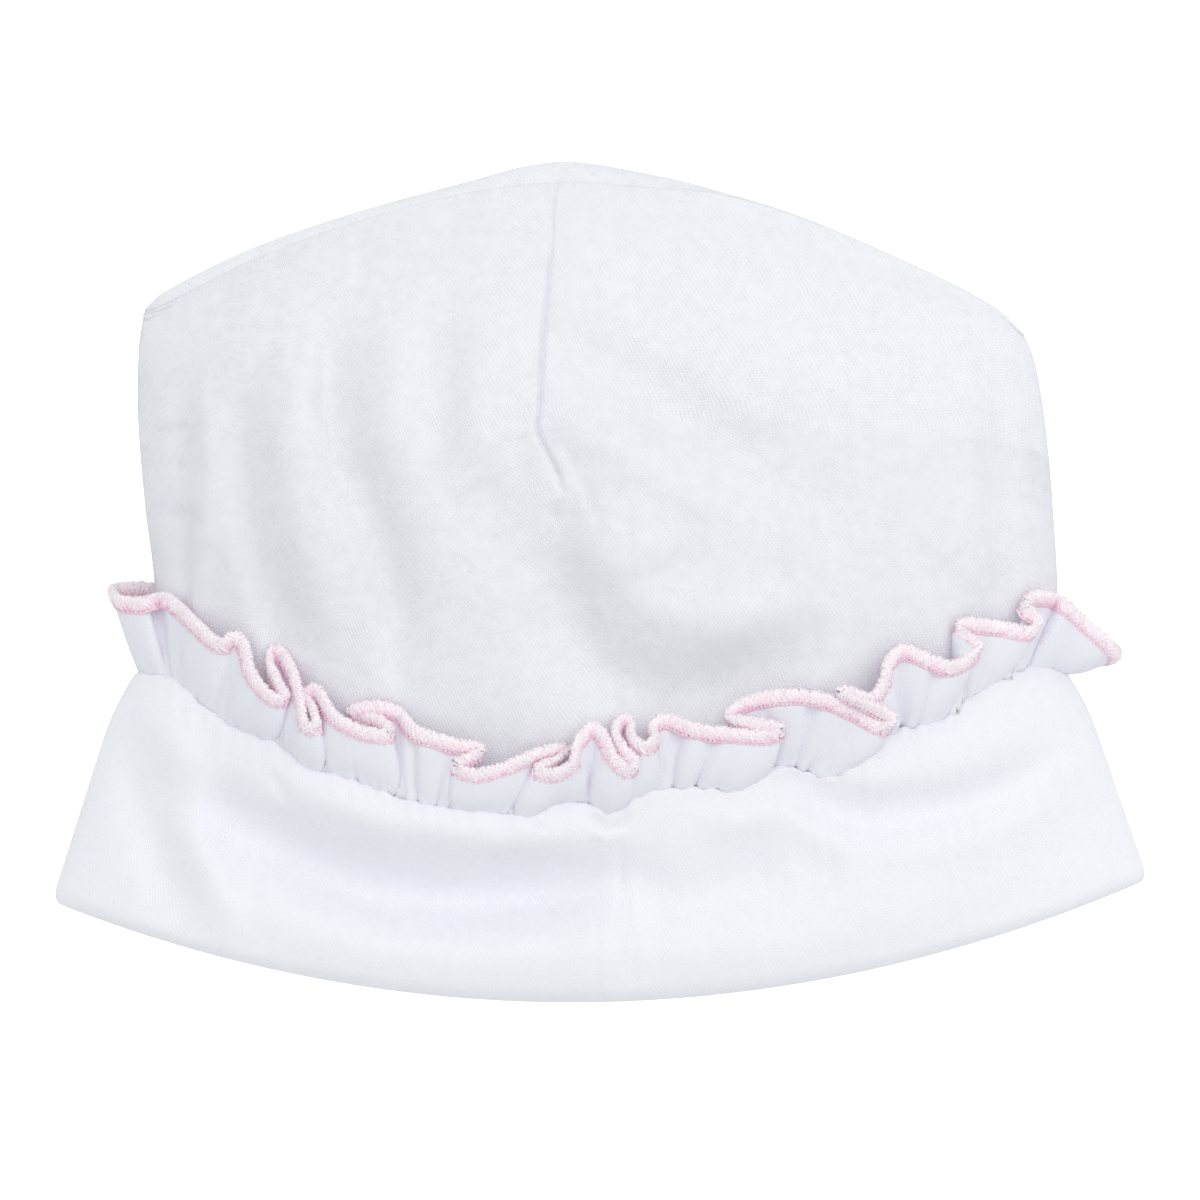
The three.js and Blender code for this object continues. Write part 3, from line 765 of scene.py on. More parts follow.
    def sleeve(
        self,
        u: Array,
        face: Face,
        t: Array,
        inset_x: Values = 0.0,
        inset_z: Values | None = None,
    ) -> Array:
        """Gives points of the flared sleeve that the cuff is.

        Args:
            u: place across, from -1 to 1.
            face: front or back of the hat.
            t: from 0 at the brim to 1 at the top edge.
            inset_x: how far inside the outer surface, across.
            inset_z: the same in height; as inset_x if left out.

        Returns:
            Points in millimetres.
        """
        inset_z = inset_x if inset_z is None else inset_z
        half = mix(self.brim_half, self.top_half, t) - self.rounding(t) - inset_x
        x = half * u
        y = mix(self.brim_y(self.brim_half * u), self.edge_y(self.top_half * u), t)
        side = mix(self.brim_side, self.top_side, t)
        if face is Face.BACK:
            z = inset_z + (side - inset_z) * self.side_roll(u, half)
        else:
            rise = mix(self.brim_front, self.top_front, t) - side
            z = side + rise * self.dome(u) - inset_z * np.minimum(3 * self.dome(u), 1)
            z = z + folded(self.cuff_folds, x, y) * np.minimum(2 * self.dome(u), 1)
        return np.stack(np.broadcast_arrays(x, y, z), axis=-1)

    def inside_cuff(self, u: Array, face: Face, t: Array) -> Array:
        """Gives points of the crown's outer face inside the cuff.

        Args:
            u: place across, from -1 to 1.
            face: front or back of the hat.
            t: from 0 at the brim to 1 at the cuff's top edge.

        Returns:
            Points in millimetres.
        """
        own = self.cuff_wall + self.layer_gap
        drawn = ease(t, 0.3, 1)
        across = mix(own, np.where(u < 0, self.neck_left, self.neck_right), drawn)
        down = own if face is Face.BACK else mix(own, self.neck_front, drawn)
        return self.sleeve(u, face, t, across - self.rounding(t), down)

    def arch_y(self, x: Array) -> Array:
        """Gives the outline of the crown's top along the hat at places across it."""
        return column(self.arch, 1)(x)

    def strip(self, x: Array) -> Array:
        """Gives how far the arch seam lies in front of the outline at places across the hat."""
        return column(self.arch, 2)(x)

    def seam_y(self, x: Array) -> Array:
        """Gives the arch seam's place along the hat at places across it."""
        return self.arch_y(x) - self.strip(x)

    def crown_plan(self, u: Array, v: Array, before_outline: float) -> tuple[Array, Array]:
        """Gives the crown's place in plan above the cuff.

        Args:
            u: place across, from -1 to 1.
            v: from 0 at the cuff's top edge to 1 at the arch.
            before_outline: 1 ends at the arch seam and 0 at the outline.

        Returns:
            Places across and along, in millimetres.
        """
        right = (u + 1) / 2
        neck = self.top_half - np.where(u < 0, self.neck_left, self.neck_right)
        top_x = mix(self.arch[0][0], self.arch[-1][0], right)
        top_y = self.arch_y(top_x) - before_outline * self.strip(top_x)
        first, final = self.crown_rows[0], self.crown_rows[-1]

        def strayed(left: int, other: int) -> Array:
            """Gives how far the side outlines stray from straight lines, shared across the hat."""
            curve = mix(column(self.crown_rows, left)(v), column(self.crown_rows, other)(v), right)
            return curve - mix(mix(first[left], final[left], v), mix(first[other], final[other], v), right)

        x = mix(neck * u, top_x, v) + strayed(1, 3)
        y = mix(self.edge_y(self.top_half * u), top_y, v) + strayed(2, 4)
        return x, y

    def dart_x(self, y: Array) -> Array:
        """Gives the front dart's seam at places along the hat."""
        return column(self.dart, 1)(y)

    def front(self, u: Array, v: Array) -> Array:
        """Gives points of the crown's front above the cuff, without its seams.

        Args:
            u: place across, from -1 to 1.
            v: from 0 at the cuff's top edge to 1 at the arch seam.

        Returns:
            Points in millimetres.
        """
        x, y = self.crown_plan(u, v, 1)
        middle, _ = self.crown_plan(np.zeros_like(v), v, 1)
        pull = ease(v, 0.2, 0.6) * (1 - np.abs(u)) ** 2 * (self.dart_x(y) - middle)
        top_x = mix(self.arch[0][0], self.arch[-1][0], (u + 1) / 2)
        x = x + pull
        y = y + v * (self.seam_y(top_x + pull) - self.seam_y(top_x))
        side = mix(self.top_side, self.side_height, ease(v, 0, 0.2))
        past = y - self.edge_y(x)
        dive = -self.dive * bell(past - self.dive_at, self.dive_width) * ease(past, 0, 7)
        folds = (folded(self.crown_folds, x, y) + dive) * ease(v, 0, 0.12) * (1 - v**8)
        rise = column(self.crown_rows, 5)(v) - side
        z = side + rise * self.dome(u) + folds * np.minimum(self.dome(u) * 2, 1)
        return np.stack([x, y, z], axis=-1)

    def front_height(self, x: Array, y: Array) -> Array:
        """Gives the height of the crown's front over places in plan.

        Args:
            x: places across the hat.
            y: places along the hat.

        Returns:
            Heights in millimetres, or 0 outside the crown's outline.
        """
        low = self.edge_y(x)
        v = np.clip((y - low) / (self.arch_y(x) - low), 0.01, 1)
        half = np.where(x < 0, -column(self.crown_rows, 1)(v), column(self.crown_rows, 3)(v))
        u = x / half
        return np.where(np.abs(u) < 1, self.front(np.clip(u, -1, 1), v)[..., 2], 0)

    def back(self, u: Array, v: Array) -> Array:
        """Gives points of the crown's back above the cuff.

        Args:
            u: place across, from -1 to 1.
            v: from 0 at the cuff's top edge to 1 at the outline and 2 at the arch seam.

        Returns:
            Points in millimetres.
        """
        x, y = self.crown_plan(u, np.minimum(v, 1), 0)
        past = y - self.edge_y(x)
        low = mix(self.cuff_wall + self.layer_gap, self.back_clearance, ease(past, -1.5, 1.5))
        low = low * (1 - ease(past, self.fall_from, self.fall_to))
        to_top = (1 - np.minimum(v, 1)) * (self.arch_y(x) - self.edge_y(x))
        inside = np.clip(1 - to_top / self.roll, 0, 1)
        top_roll = 1 - np.sqrt(1 - inside**2)
        rolled = np.maximum(self.side_roll(u, self.top_half), top_roll)
        turn = self.seam_turn * np.maximum(v - 1, 0)
        strip = np.maximum(self.strip(x), 0.05) / (1 - math.cos(self.seam_turn))
        rise = self.seam_rise * self.dome(u) / math.sin(self.seam_turn)
        z = low + (self.side_height - low) * rolled + rise * np.sin(turn)
        return np.stack([x, y - strip * (1 - np.cos(turn)), z], axis=-1)


@dataclass
class Crown:
    """The crown: a front and a back panel, joined along the arch seam and the sides."""

    form: HatForm
    finish: Material
    columns_front: int = 216
    columns_back: int = 210
    seam_depth: float = 0.14
    seam_width: float = 0.7
    # the front dart: a groove, a valley between two places along the hat, and lips and tucks beside it
    dart_groove: float = 0.85
    dart_width: float = 0.4
    dart_valley: float = 0.8
    valley_left: float = 0.6
    valley_right: float = 1.7
    valley_from: tuple[float, float] = (22, 29)
    valley_to: tuple[float, float] = (52, 62)
    lip_height: float = 0.22
    lip_off: float = 1.3
    lip_width: float = 0.9
    lips_to: tuple[float, float] = (24, 31)
    tuck_height: float = 0.08
    tuck_pitch: float = 2.6
    tuck_reach: float = 1.4
    # line in plan, width and rise of the small creases and dimples about the dart
    dimples: tuple[Fold, ...] = (
        Fold(((-7.2, 15), (-6.9, 14.2)), 1.5, 0.7),
        Fold(((-9.4, 12.2), (-6.8, 10.8), (-4, 12.6)), 1.3, -0.45),
        Fold(((-6.2, 24), (-3.6, 18.5), (-1.4, 13), (1.2, 7.5)), 0.8, -0.3),
        Fold(((-12.5, 26), (-11, 20), (-8.6, 16)), 1.5, 0.5),
        Fold(((-9, 28.8), (-1, 28.6)), 1.4, 0.45),
        Fold(((-1.4, 55.8), (-1.1, 55.2)), 2.2, -0.45),
    )
    # the back panel's own dart, where it comes over the outline
    join_x: float = -7.7
    join_y: float = 72.2
    join_lean: float = 0.32
    join_depth: float = 0.3
    join_width: float = 0.5

    def inside(self, u: Array, face: Face, rows: int) -> Array:
        """Gives so many rows of a panel inside the cuff."""
        across, up = np.meshgrid(u, np.linspace(0.09, 0.985, rows))
        return self.form.inside_cuff(across, face, up)

    def seam_dip(self, x: Array, away: Array) -> Array:
        """Gives how far cloth dips at the arch seam: sharply on the left and softly on the right.

        Args:
            x: places across the hat.
            away: distance from the seam.

        Returns:
            Heights in millimetres.
        """
        soft = ease(x, 5, 30)
        return -mix(self.seam_depth, 0.0, soft) * np.exp(-away / self.seam_width)

    @staticmethod
    def allowance(edge: Array, u: Array, lean: float, drop: float, least: float, dome: Array) -> Array:
        """Turns a panel's edge in at the seam.

        Args:
            edge: the panel's last row.
            u: place across, from -1 to 1.
            lean: how far the turned edge leans along Y for each millimetre of it.
            drop: how far it goes down for each millimetre of it.
            least: the lowest that it may reach.
            dome: how far it stands, from 0 at the sides to 1.

        Returns:
            Three more rows.
        """
        rows = []
        inward = np.maximum(np.abs(u) ** 9, ease(edge[:, 0], 8, 30))
        for k in (0.4, 1.0, 1.8):
            move = [-0.4 * k * u**9, lean * k * dome - 0.7 * k * inward, -drop * k * dome]
            row = edge + np.stack(move, axis=-1)
            row[:, 2] = np.maximum(row[:, 2], least)
            rows.append(row)
        return np.stack(rows)

    def build_front(self) -> Piece:
        """Builds the front panel with its dart.

        Returns:
            The panel.
        """
        form = self.form
        u = spread(self.columns_front, 0.45)
        v = np.r_[np.linspace(0, 0.9, 146), np.linspace(0.905, 1, 26)]
        uu, vv = np.meshgrid(u, v)
        above = form.front(uu, vv)
        x, y = above[..., 0], above[..., 1]
        above[..., 2] += self.dart_relief(x, y)
        above[..., 2] += self.puckers(x, y)
        away = np.maximum(form.seam_y(x) - y, 0)
        above[..., 2] += self.seam_dip(x, away) * form.dome(uu)
        above[..., 2] += 0.12 * ripple(x, 4.2, 0.3) * np.exp(-away / 3) * form.dome(uu)
        inner = self.allowance(above[-1], u, -0.06, 0.9, form.side_height, form.dome(u))
        points = np.concatenate([self.inside(u, Face.FRONT, 22), above, inner])
        piece = cloth_mesh("crown_front_cloth", points, cloth_uv(points))
        wall(piece, form.knit, -1)
        return self.dress(piece, "crown_front")

    def dart_relief(self, x: Array, y: Array) -> Array:
        """Gives the dart's relief: a fine seam, a valley on its right and raised lips at its point.

        Args:
            x: places across the hat.
            y: places along the hat.

        Returns:
            Heights in millimetres.
        """
        off = x - self.form.dart_x(y)
        point = self.form.dart[0][0]
        on = ease(y, point - 0.8, point + 1.5)
        groove = -self.dart_groove * bell(off, self.dart_width)
        middle = ease(y, *self.valley_from) * (1 - ease(y, *self.valley_to))
        slope = np.where(off < 0, self.valley_left, self.valley_right)
        valley = -self.dart_valley * middle * bell(off, slope)
        lips = self.lip_height * (1 - ease(y, *self.lips_to))
        lips = lips * bell(np.abs(off) - self.lip_off, self.lip_width)
        tuck = self.tuck_height * ripple(y, self.tuck_pitch, 0.25)
        tuck = tuck * np.exp(-np.abs(off) / self.tuck_reach)
        return on * (groove + valley + lips + tuck)

    def puckers(self, x: Array, y: Array) -> Array:
        """Gives the small creases and dimples that the large folds leave out.

        Args:
            x: places across the hat.
            y: places along the hat.

        Returns:
            Heights in millimetres.
        """
        drift = 0.22 * np.sin(x / 9.3 + 0.8 * np.sin(y / 13)) * np.sin(y / 11.7 + 1.3)
        drift += 0.1 * np.sin(x / 4.1 + y / 6.3) * np.sin(y / 5.9 - x / 15)
        return folded(self.dimples, x, y) + drift

    def build_back(self) -> Piece:
        """Builds the back panel, which comes over the outline to the arch seam.

        Returns:
            The panel.
        """
        form = self.form
        u = spread(self.columns_back, 0.35)
        v = np.r_[np.linspace(0.004, 0.9, 58), np.linspace(0.91, 1, 10), np.linspace(1.08, 2, 14)]
        uu, vv = np.meshgrid(u, v)
        above = form.back(uu, vv)
        away = np.linalg.norm(above - above[-1][None], axis=2)
        above[..., 2] += ease(vv, 1, 2) * self.seam_dip(above[..., 0], away) * form.dome(uu)
        join = above[..., 0] - self.join_x - self.join_lean * (above[..., 1] - self.join_y)
        above[..., 2] -= self.join_depth * bell(join, self.join_width) * ease(vv, 1.0, 1.2)
        inner = self.allowance(above[-1], u, -0.75, 0.4, form.side_height, form.dome(u))
        below = self.inside(u, Face.BACK, 14)
        below[..., 2] = np.minimum(below[..., 2], form.side_height)
        points = np.concatenate([below, above, inner])[:, ::-1]
        piece = cloth_mesh("crown_back_cloth", points, cloth_uv(points))
        wall(piece, form.knit, -1)
        return self.dress(piece, "crown_back")

    def dress(self, piece: Piece, node: str) -> Piece:
        """Gives a panel its finish and its place on the frame.

        Args:
            piece: the panel.
            node: the solid that it stands for.

        Returns:
            The panel.
        """
        piece.data.materials.append(self.finish)
        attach(piece, "root")
        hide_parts(node)
        return piece


@dataclass
class Cuff:
    """The turned-up cuff, with the fold that wraps the crown's lower edge."""

    form: HatForm
    finish: Material
    fold: float = 6.2
    hem: float = 9.0
    floor: float = 2.2
    columns_front: int = 330
    columns_back: int = 120
    slits: tuple[float, ...] = (
        -80, -71, -60.8, -51, -36, -17.5, -3, 4.3, 13.5, 17.6, 21.6, 36, 38.5, 56, 67.5, 75.4,
    )
    slit_width: float = 1.1
    slit_depth: float = 0.5
    slit_drop: float = 0.25
    pucker_reach: float = 2.6
    pucker_pitch: float = 3.1
    pucker_height: float = 0.28
    pucker_swing: float = 0.12
    # line in plan, width and rise of the cuff's join and small dents
    dents: tuple[Fold, ...] = (
        Fold(((3.2, -45.6), (4, -53.7), (5, -62.7), (6.3, -74)), 0.9, -0.75),
        Fold(((6.4, -47), (8, -60), (10, -74)), 5, -0.7),
        Fold(((-1.8, -41.1), (0, -43.3), (1.6, -44), (4.5, -43.3), (6.3, -41.5)), 0.9, -0.8),
        Fold(((-1.6, -44.6), (1.6, -45.8), (4.8, -44.6)), 1.2, 0.4),
        Fold(((-59, -34), (-55.8, -39.3)), 1.2, -0.7),
        Fold(((-12.6, -42), (-9.9, -44.7)), 1.1, -0.5),
        Fold(((-20, -62), (20, -63)), 7, 0.5),
        Fold(((24, -37.5), (26, -42)), 1.6, -0.4),
    )

    def section(self) -> Array:
        """Gives the cuff's section, from inside its top edge over it and down, round the brim and back.

        Returns:
            Rows of height above the brim and inset from the outer face, in millimetres.
        """
        w, h = self.form.cuff_wall, self.form.cuff_height
        rim = w / 2
        arc = np.linspace(0, math.pi, 9)
        top = np.stack([h - rim + rim * np.sin(arc), rim + rim * np.cos(arc)], axis=1)
        down = np.linspace(h - rim - 0.8, 3.4, 44)
        outer = np.stack([down, np.zeros_like(down)], axis=1)
        arc = np.linspace(0, math.pi, 15)
        half = self.fold / 2
        brim = np.stack([3.0 - 3.0 * np.sin(arc), half - half * np.cos(arc)], axis=1)
        up = np.linspace(3.8, self.hem - 0.6, 6)
        lip = np.stack([up, np.full_like(up, self.fold)], axis=1)
        inside = w + self.form.knit + 3 * self.form.layer_gap
        arc = np.linspace(0, math.pi, 6)
        middle, r = (inside + self.fold) / 2, (self.fold - inside) / 2
        hem = np.stack([self.hem - r + r * np.sin(arc), middle + r * np.cos(arc)], axis=1)
        close = np.array([(5, inside), (self.floor, inside), (self.floor, w), (5, w)])
        back = np.linspace(9, h - rim - 1.5, 8)
        inner = np.stack([back, np.full_like(back, w)], axis=1)
        return np.concatenate([top, outer, brim, lip, hem, close, inner, top[:1]])

    def build(self) -> Piece:
        """Builds the cuff.

        Returns:
            The cuff.
        """
        form = self.form
        u_front = spread(self.columns_front, 0)[::-1]
        u_back = spread(self.columns_back, 0)
        height, inset = self.section().T
        t = height / form.cuff_height
        front = form.sleeve(u_front[None], Face.FRONT, t[:, None], inset[:, None])
        back = form.sleeve(u_back[None, 1:], Face.BACK, t[:, None], inset[:, None])
        front += self.relief(front, t[:, None], u_front[None])
        points = np.concatenate([front, back], axis=1)
        points[:, -1] = points[:, 0]
        piece = cloth_mesh("cuff_cloth", points, cloth_uv(points), closed=True)
        piece.data.materials.append(self.finish)
        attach(piece, "root")
        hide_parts("cuff")
        return piece

    def relief(self, points: Array, t: Array, u: Array) -> Array:
        """Gives the cuff's small relief: the puckers under the ruffle's seam, the join and soft dents.

        Args:
            points: places on the plain cuff.
            t: from 0 at the brim to 1 at the top edge.
            u: place across.

        Returns:
            Moves in millimetres.
        """
        x, y = points[..., 0], points[..., 1]
        below = (1 - t) * self.form.cuff_height
        near = np.exp(-np.maximum(below, 0) / self.pucker_reach)
        slit = sum(bell(x - s, self.slit_width) for s in self.slits)
        move = np.zeros(points.shape)
        pucker = ripple(x, self.pucker_pitch, 0.3)
        move[..., 2] = near * (self.pucker_height * pucker - self.slit_depth * slit)
        move[..., 1] = near * (self.pucker_swing * pucker - self.slit_drop * slit)
        move[..., 2] += folded(self.dents, x, y) * ease(below, -0.5, 4)
        drift = 0.22 * np.sin(x / 8.7 + 0.9 * np.sin(y / 10)) * np.sin(y / 9.1 + 0.4)
        move[..., 2] += drift * ease(below, 0, 6)
        return move * np.minimum(self.form.dome(u) * 3, 1)[..., None]


@dataclass
class Ruffle:
    """The gathered ruffle: its run round the hat, its folds and the cloth itself."""

    form: HatForm
    knit: Material
    height: float = 16.0
    cut: float = 14.5
    wall: float = 0.75
    rest: float = 1.05
    stand: float = 0.6
    reach: float = 9.0
    bow: float = 1.1
    bow_from: float = 5
    slack_share: float = 1.12
    sewn_below: float = 0.4
    free_rise: float = 0.5
    edge_gap: float = 0.5
    back_step: float = 0.6
    side_angle: float = 0.28
    step: float = 0.34
    wave_pitch: float = 9.0
    wave_rise: float = 1.1
    wave_middle: float = 2.6
    puff: float = 0.3
    puff_pitch: float = 2.1
    puff_reach: float = 1.9
    # out, turn, back and trough of each fold of the free edge, seen from the front: x, y and the place on
    # the seam that the cloth there is gathered to, counted on past the sides where it turns under
    folds: tuple[Table, ...] = (
        ((-78.7, -1.9, -88.8), (-83.9, -1.3, -87.2), (-87.7, -1.9, -85.9), (-86.8, -3.5, -84.6)),
        ((-82.8, -4.2, -81.5), (-80.3, -3.7, -79.9), (-77.9, -3.3, -78.8), (-72.7, -7.6, -75.6)),
        ((-67.5, -11.6, -72.4), (-65.3, -10.0, -71.5), (-63.7, -11.6, -70.6), (-62.3, -16.6, -67.5)),
        ((-58.3, -21.0, -62.6), (-56.2, -21.1, -60.5), (-57.6, -18.1, -60.1), (-59.0, -15.0, -59.8)),
        ((-58.0, -12.3, -59.4), (-55.3, -15.6, -58.9), (-53.5, -21.5, -57.2), (-52.6, -25.6, -54.4)),
        ((-50.6, -26.4, -51.7), (-50.9, -23.7, -50.9), (-52.4, -20.6, -50.8), (-50.8, -19.5, -50.4)),
        ((-47.5, -24.2, -48.6), (-42.5, -26.9, -42.8), (-37.3, -27.3, -37.6), (-39.1, -25.1, -37.1)),
        ((-44.5, -23.8, -36.7), (-41.4, -22.6, -36.5), (-36.4, -23.3, -36), (-33.1, -26.7, -33.8)),
        ((-26.3, -29.1, -29.9), (-21.2, -30.1, -28.4), (-23.4, -31.6, -27.7), (-25.6, -33.0, -27)),
        ((-22.7, -34.5, -24.1), (-16.2, -33.0, -19.1), (-10.8, -30.7, -17.5), (-6.1, -30.1, -16.9)),
        ((-7.9, -32.1, -16.6), (-11.5, -33.6, -15.8), (-8.5, -34.5, -10.8), (-4.9, -32.7, -5)),
        ((-4.0, -29.1, -3.8), (-1.4, -26.2, -3.1), (0.7, -28.0, -2.2), (2.0, -31.0, -0.5)),
        ((5.0, -33.8, 2.9), (6.1, -32.5, 4.3), (4.1, -30.0, 4.5), (2.7, -27.1, 4.7)),
        ((4.0, -24.8, 4.9), (5.4, -25.6, 5), (5.6, -28.0, 5.2), (7.6, -29.6, 6.3)),
        ((9.7, -28.5, 9.4), (9.4, -26.2, 10.8), (11.5, -24.8, 11.5), (17.1, -26.6, 14.4)),
        ((23.4, -27.3, 20.2), (30.2, -27.6, 27.9), (32.2, -26.6, 29.9), (28.1, -25.5, 30.6)),
        ((23.0, -24.4, 31.1), (25.2, -22.2, 31.7), (31.5, -20.6, 32.8), (38.5, -20.8, 36)),
        ((45.0, -23.3, 40), (50.4, -26.2, 47.9), (52.0, -24.8, 50.4), (48.2, -22.2, 51.8)),
        ((42.8, -19.9, 52.7), (44.3, -19.7, 53.3), (48.4, -21.0, 53.8), (50.6, -18.3, 54.4)),
        ((51.5, -14.5, 55.1), (53.8, -12.5, 56), (59.0, -14.3, 58), (62.1, -15.4, 59.4)),
        ((64.6, -14.8, 62.1), (67.3, -12.2, 65.5), (66.2, -10.7, 66.1), (64.4, -9.3, 66.4)),
        ((64.3, -8.0, 66.8), (70.6, -8.2, 69.3), (77.0, -9.1, 74.5), (78.3, -7.1, 75.2)),
        ((76.0, -4.8, 75.6), (77.4, -3.1, 76.3), (81.7, -3.5, 78.8), (86.4, -7.3, 82.8)),
        ((92.7, -13.4, 85), (91.1, -14.3, 86.6), (88.4, -11.4, 87.6), (85.0, -7.3, 88.8)),
    )
    # place on the seam, depth at the seam and at the edge, and width there, of the creases between folds
    creases: Table = (
        (-79.9, 1.1, 2.2, 0.8, 1.6), (-67.5, 0.75, 0, 0.75, 1.2), (-56.9, 0.88, 0, 0.6, 0.9),
        (-44.6, 0.88, 0, 0.6, 0.9), (-38.7, 0.75, 0, 0.6, 0.9), (-33.8, 1.1, 0.96, 0.75, 1.4),
        (-30.2, 1, 0.48, 0.6, 1), (-21.6, 0.75, 0, 0.75, 1), (-7.6, 0.75, 0, 0.6, 0.9),
        (-2.5, 1, 0.36, 0.6, 0.9), (10.4, 0.88, 0, 0.6, 0.9), (13.1, 1.6, 1.7, 0.9, 1.7),
        (17.5, 1.5, 1.1, 0.75, 1.4), (21.6, 1.4, 0, 0.75, 1.2), (32.4, 1.1, 0.36, 0.6, 0.75),
        (34.7, 0.88, 0, 0.6, 0.9), (36, 1.1, 1.4, 0.75, 1.4), (38.2, 1.2, 0, 0.75, 1.2),
        (56, 1.6, 0.36, 1, 1.4), (58.7, 0.5, 1.2, 0.75, 1.4), (66.2, 1.1, 1.4, 1.2, 1.8),
        (75.1, 1.4, 0.72, 0.75, 1.2), (79.2, 1, 0.24, 0.75, 1),
    )
    places: Array = field(init=False)
    roots: Array = field(init=False)
    edges: Array = field(init=False)

    def __post_init__(self) -> None:
        """Works out the run of the ruffle once for its pieces."""
        self.roots, self.edges = self.run()

    def edge_path(self) -> Array:
        """Gives the free edge over the front in plan, in even steps, with its place on the seam.

        Returns:
            Rows of x, y and place on the seam, in millimetres.
        """
        p = np.array(self.folds).reshape(-1, 3)
        p = np.concatenate([2 * p[:1] - p[1:2], p, 2 * p[-1:] - p[-2:-1]])
        found = []
        for a, b, c, d in zip(p, p[1:], p[2:], p[3:]):
            steps = (math.sqrt(np.linalg.norm((q - r)[:2])) for q, r in ((b, a), (c, b), (d, c)))
            k = np.cumsum([0, *steps])
            t = np.linspace(k[1], k[2], 40, endpoint=False)[:, None]
            ab = mix(a, b, (t - k[0]) / (k[1] - k[0]))
            bc = mix(b, c, (t - k[1]) / (k[2] - k[1]))
            cd = mix(c, d, (t - k[2]) / (k[3] - k[2]))
            abc = mix(ab, bc, (t - k[0]) / (k[2] - k[0]))
            bcd = mix(bc, cd, (t - k[1]) / (k[3] - k[1]))
            curve = mix(abc, bcd, (t - k[1]) / (k[2] - k[1]))
            curve[:, 2] = bc[:, 2]
            found.append(curve)
        path = np.concatenate([*found, p[-2:-1]])
        length = lengths(path[:, :2])
        even = np.linspace(0, length[-1], round(length[-1] / self.step) + 1)
        return np.stack([np.interp(even, length, path[:, k]) for k in (0, 1, 2)], axis=1)

    @staticmethod
    def smoothed(values: Array, reach: int) -> Array:
        """Averages each value with so many on both sides, the near ones most."""
        window = np.hanning(2 * reach + 1) / np.hanning(2 * reach + 1).sum()
        return np.convolve(np.pad(values, reach, mode="edge"), window, mode="valid")

    def seam(self, angle: Array) -> Array:
        """Gives places of the seam over the cuff's top edge.

        Args:
            angle: round the hat from its right side.

        Returns:
            Points in millimetres.
        """
        t = np.full(angle.shape, 1 - self.sewn_below / self.form.cuff_height)
        middle = self.form.cuff_wall / 2
        front = self.form.sleeve(np.cos(angle), Face.FRONT, t, middle)
        back = self.form.sleeve(np.cos(angle), Face.BACK, t, middle)
        return np.where(np.sin(angle)[:, None] >= 0, front, back)

    def run(self) -> tuple[Array, Array]:
        """Works out where the cloth is sewn and where its free edge goes, all round the hat.

        Returns:
            Roots and free edge, point by point, in millimetres.
        """
        form = self.form
        path = self.edge_path()
        place = self.smoothed(path[:, 2], 4)
        self.places = place
        half = form.top_half
        past = np.arccos(np.clip((2 * half - np.abs(place)) / half, -1, 1))
        angle = np.arccos(np.clip(place / half, -1, 1))
        angle = np.where(place < -half, math.pi + past, np.where(place > half, -past, angle))
        roots = self.seam(angle)
        flat = np.linalg.norm(path[:, :2] - roots[:, :2], axis=1)
        slack = np.sqrt(np.maximum((self.slack_share * self.height) ** 2 - flat**2, 0))
        crown = form.front_height(path[:, 0], path[:, 1])
        over = crown + self.rest + self.stand * np.maximum(slack - self.reach, 0)
        under = np.full(len(path), self.wave_middle)
        front = ease(np.sin(angle), -0.12, 0.18)
        resting = np.where(crown > 0, over, roots[:, 2] + self.free_rise)
        z = mix(under, resting, front)
        edges = np.stack([path[:, 0], path[:, 1], self.smoothed(z, 6)], axis=1)
        start, end = angle[-1] - 0.05, -math.pi + self.side_angle + 0.06
        steps = round(2 * form.top_half / self.back_step)
        s = np.arange(1, steps) / steps
        at = -np.arccos(mix(math.cos(start), math.cos(end), s))
        near = np.minimum(s, 1 - s)
        at = mix(mix(start, end, s), at, ease(near, 0.01, 0.04))
        back = self.seam(at)
        across = np.cos(at)
        top, brim = (form.sleeve(across, Face.BACK, np.full(len(s), t)) for t in (1.0, 0.0))
        fan = top - brim
        fan[:, 2] = 0
        waves = TAU * s * 2 * form.top_half / self.wave_pitch
        wave = self.wave_rise * np.sin(waves) * np.minimum(near * 18, 1)
        tips = back + unit(fan) * self.height
        tips[:, 2] = self.wave_middle + wave
        return np.concatenate([roots, back]), np.concatenate([edges, tips])

    @staticmethod
    def forward(points: Array) -> Array:
        """Gives the direction along a closed line of points."""
        return unit(np.roll(points, -1, axis=0) - np.roll(points, 1, axis=0))

    def edge_axes(self) -> tuple[Array, Array]:
        """Gives the free edge's directions.

        Returns:
            The directions up from the cloth and across it.
        """
        forward = self.forward(self.edges)
        up = self.edges - self.roots
        up = unit(up - forward * (up * forward).sum(axis=1)[:, None])
        return up, np.cross(forward, up)

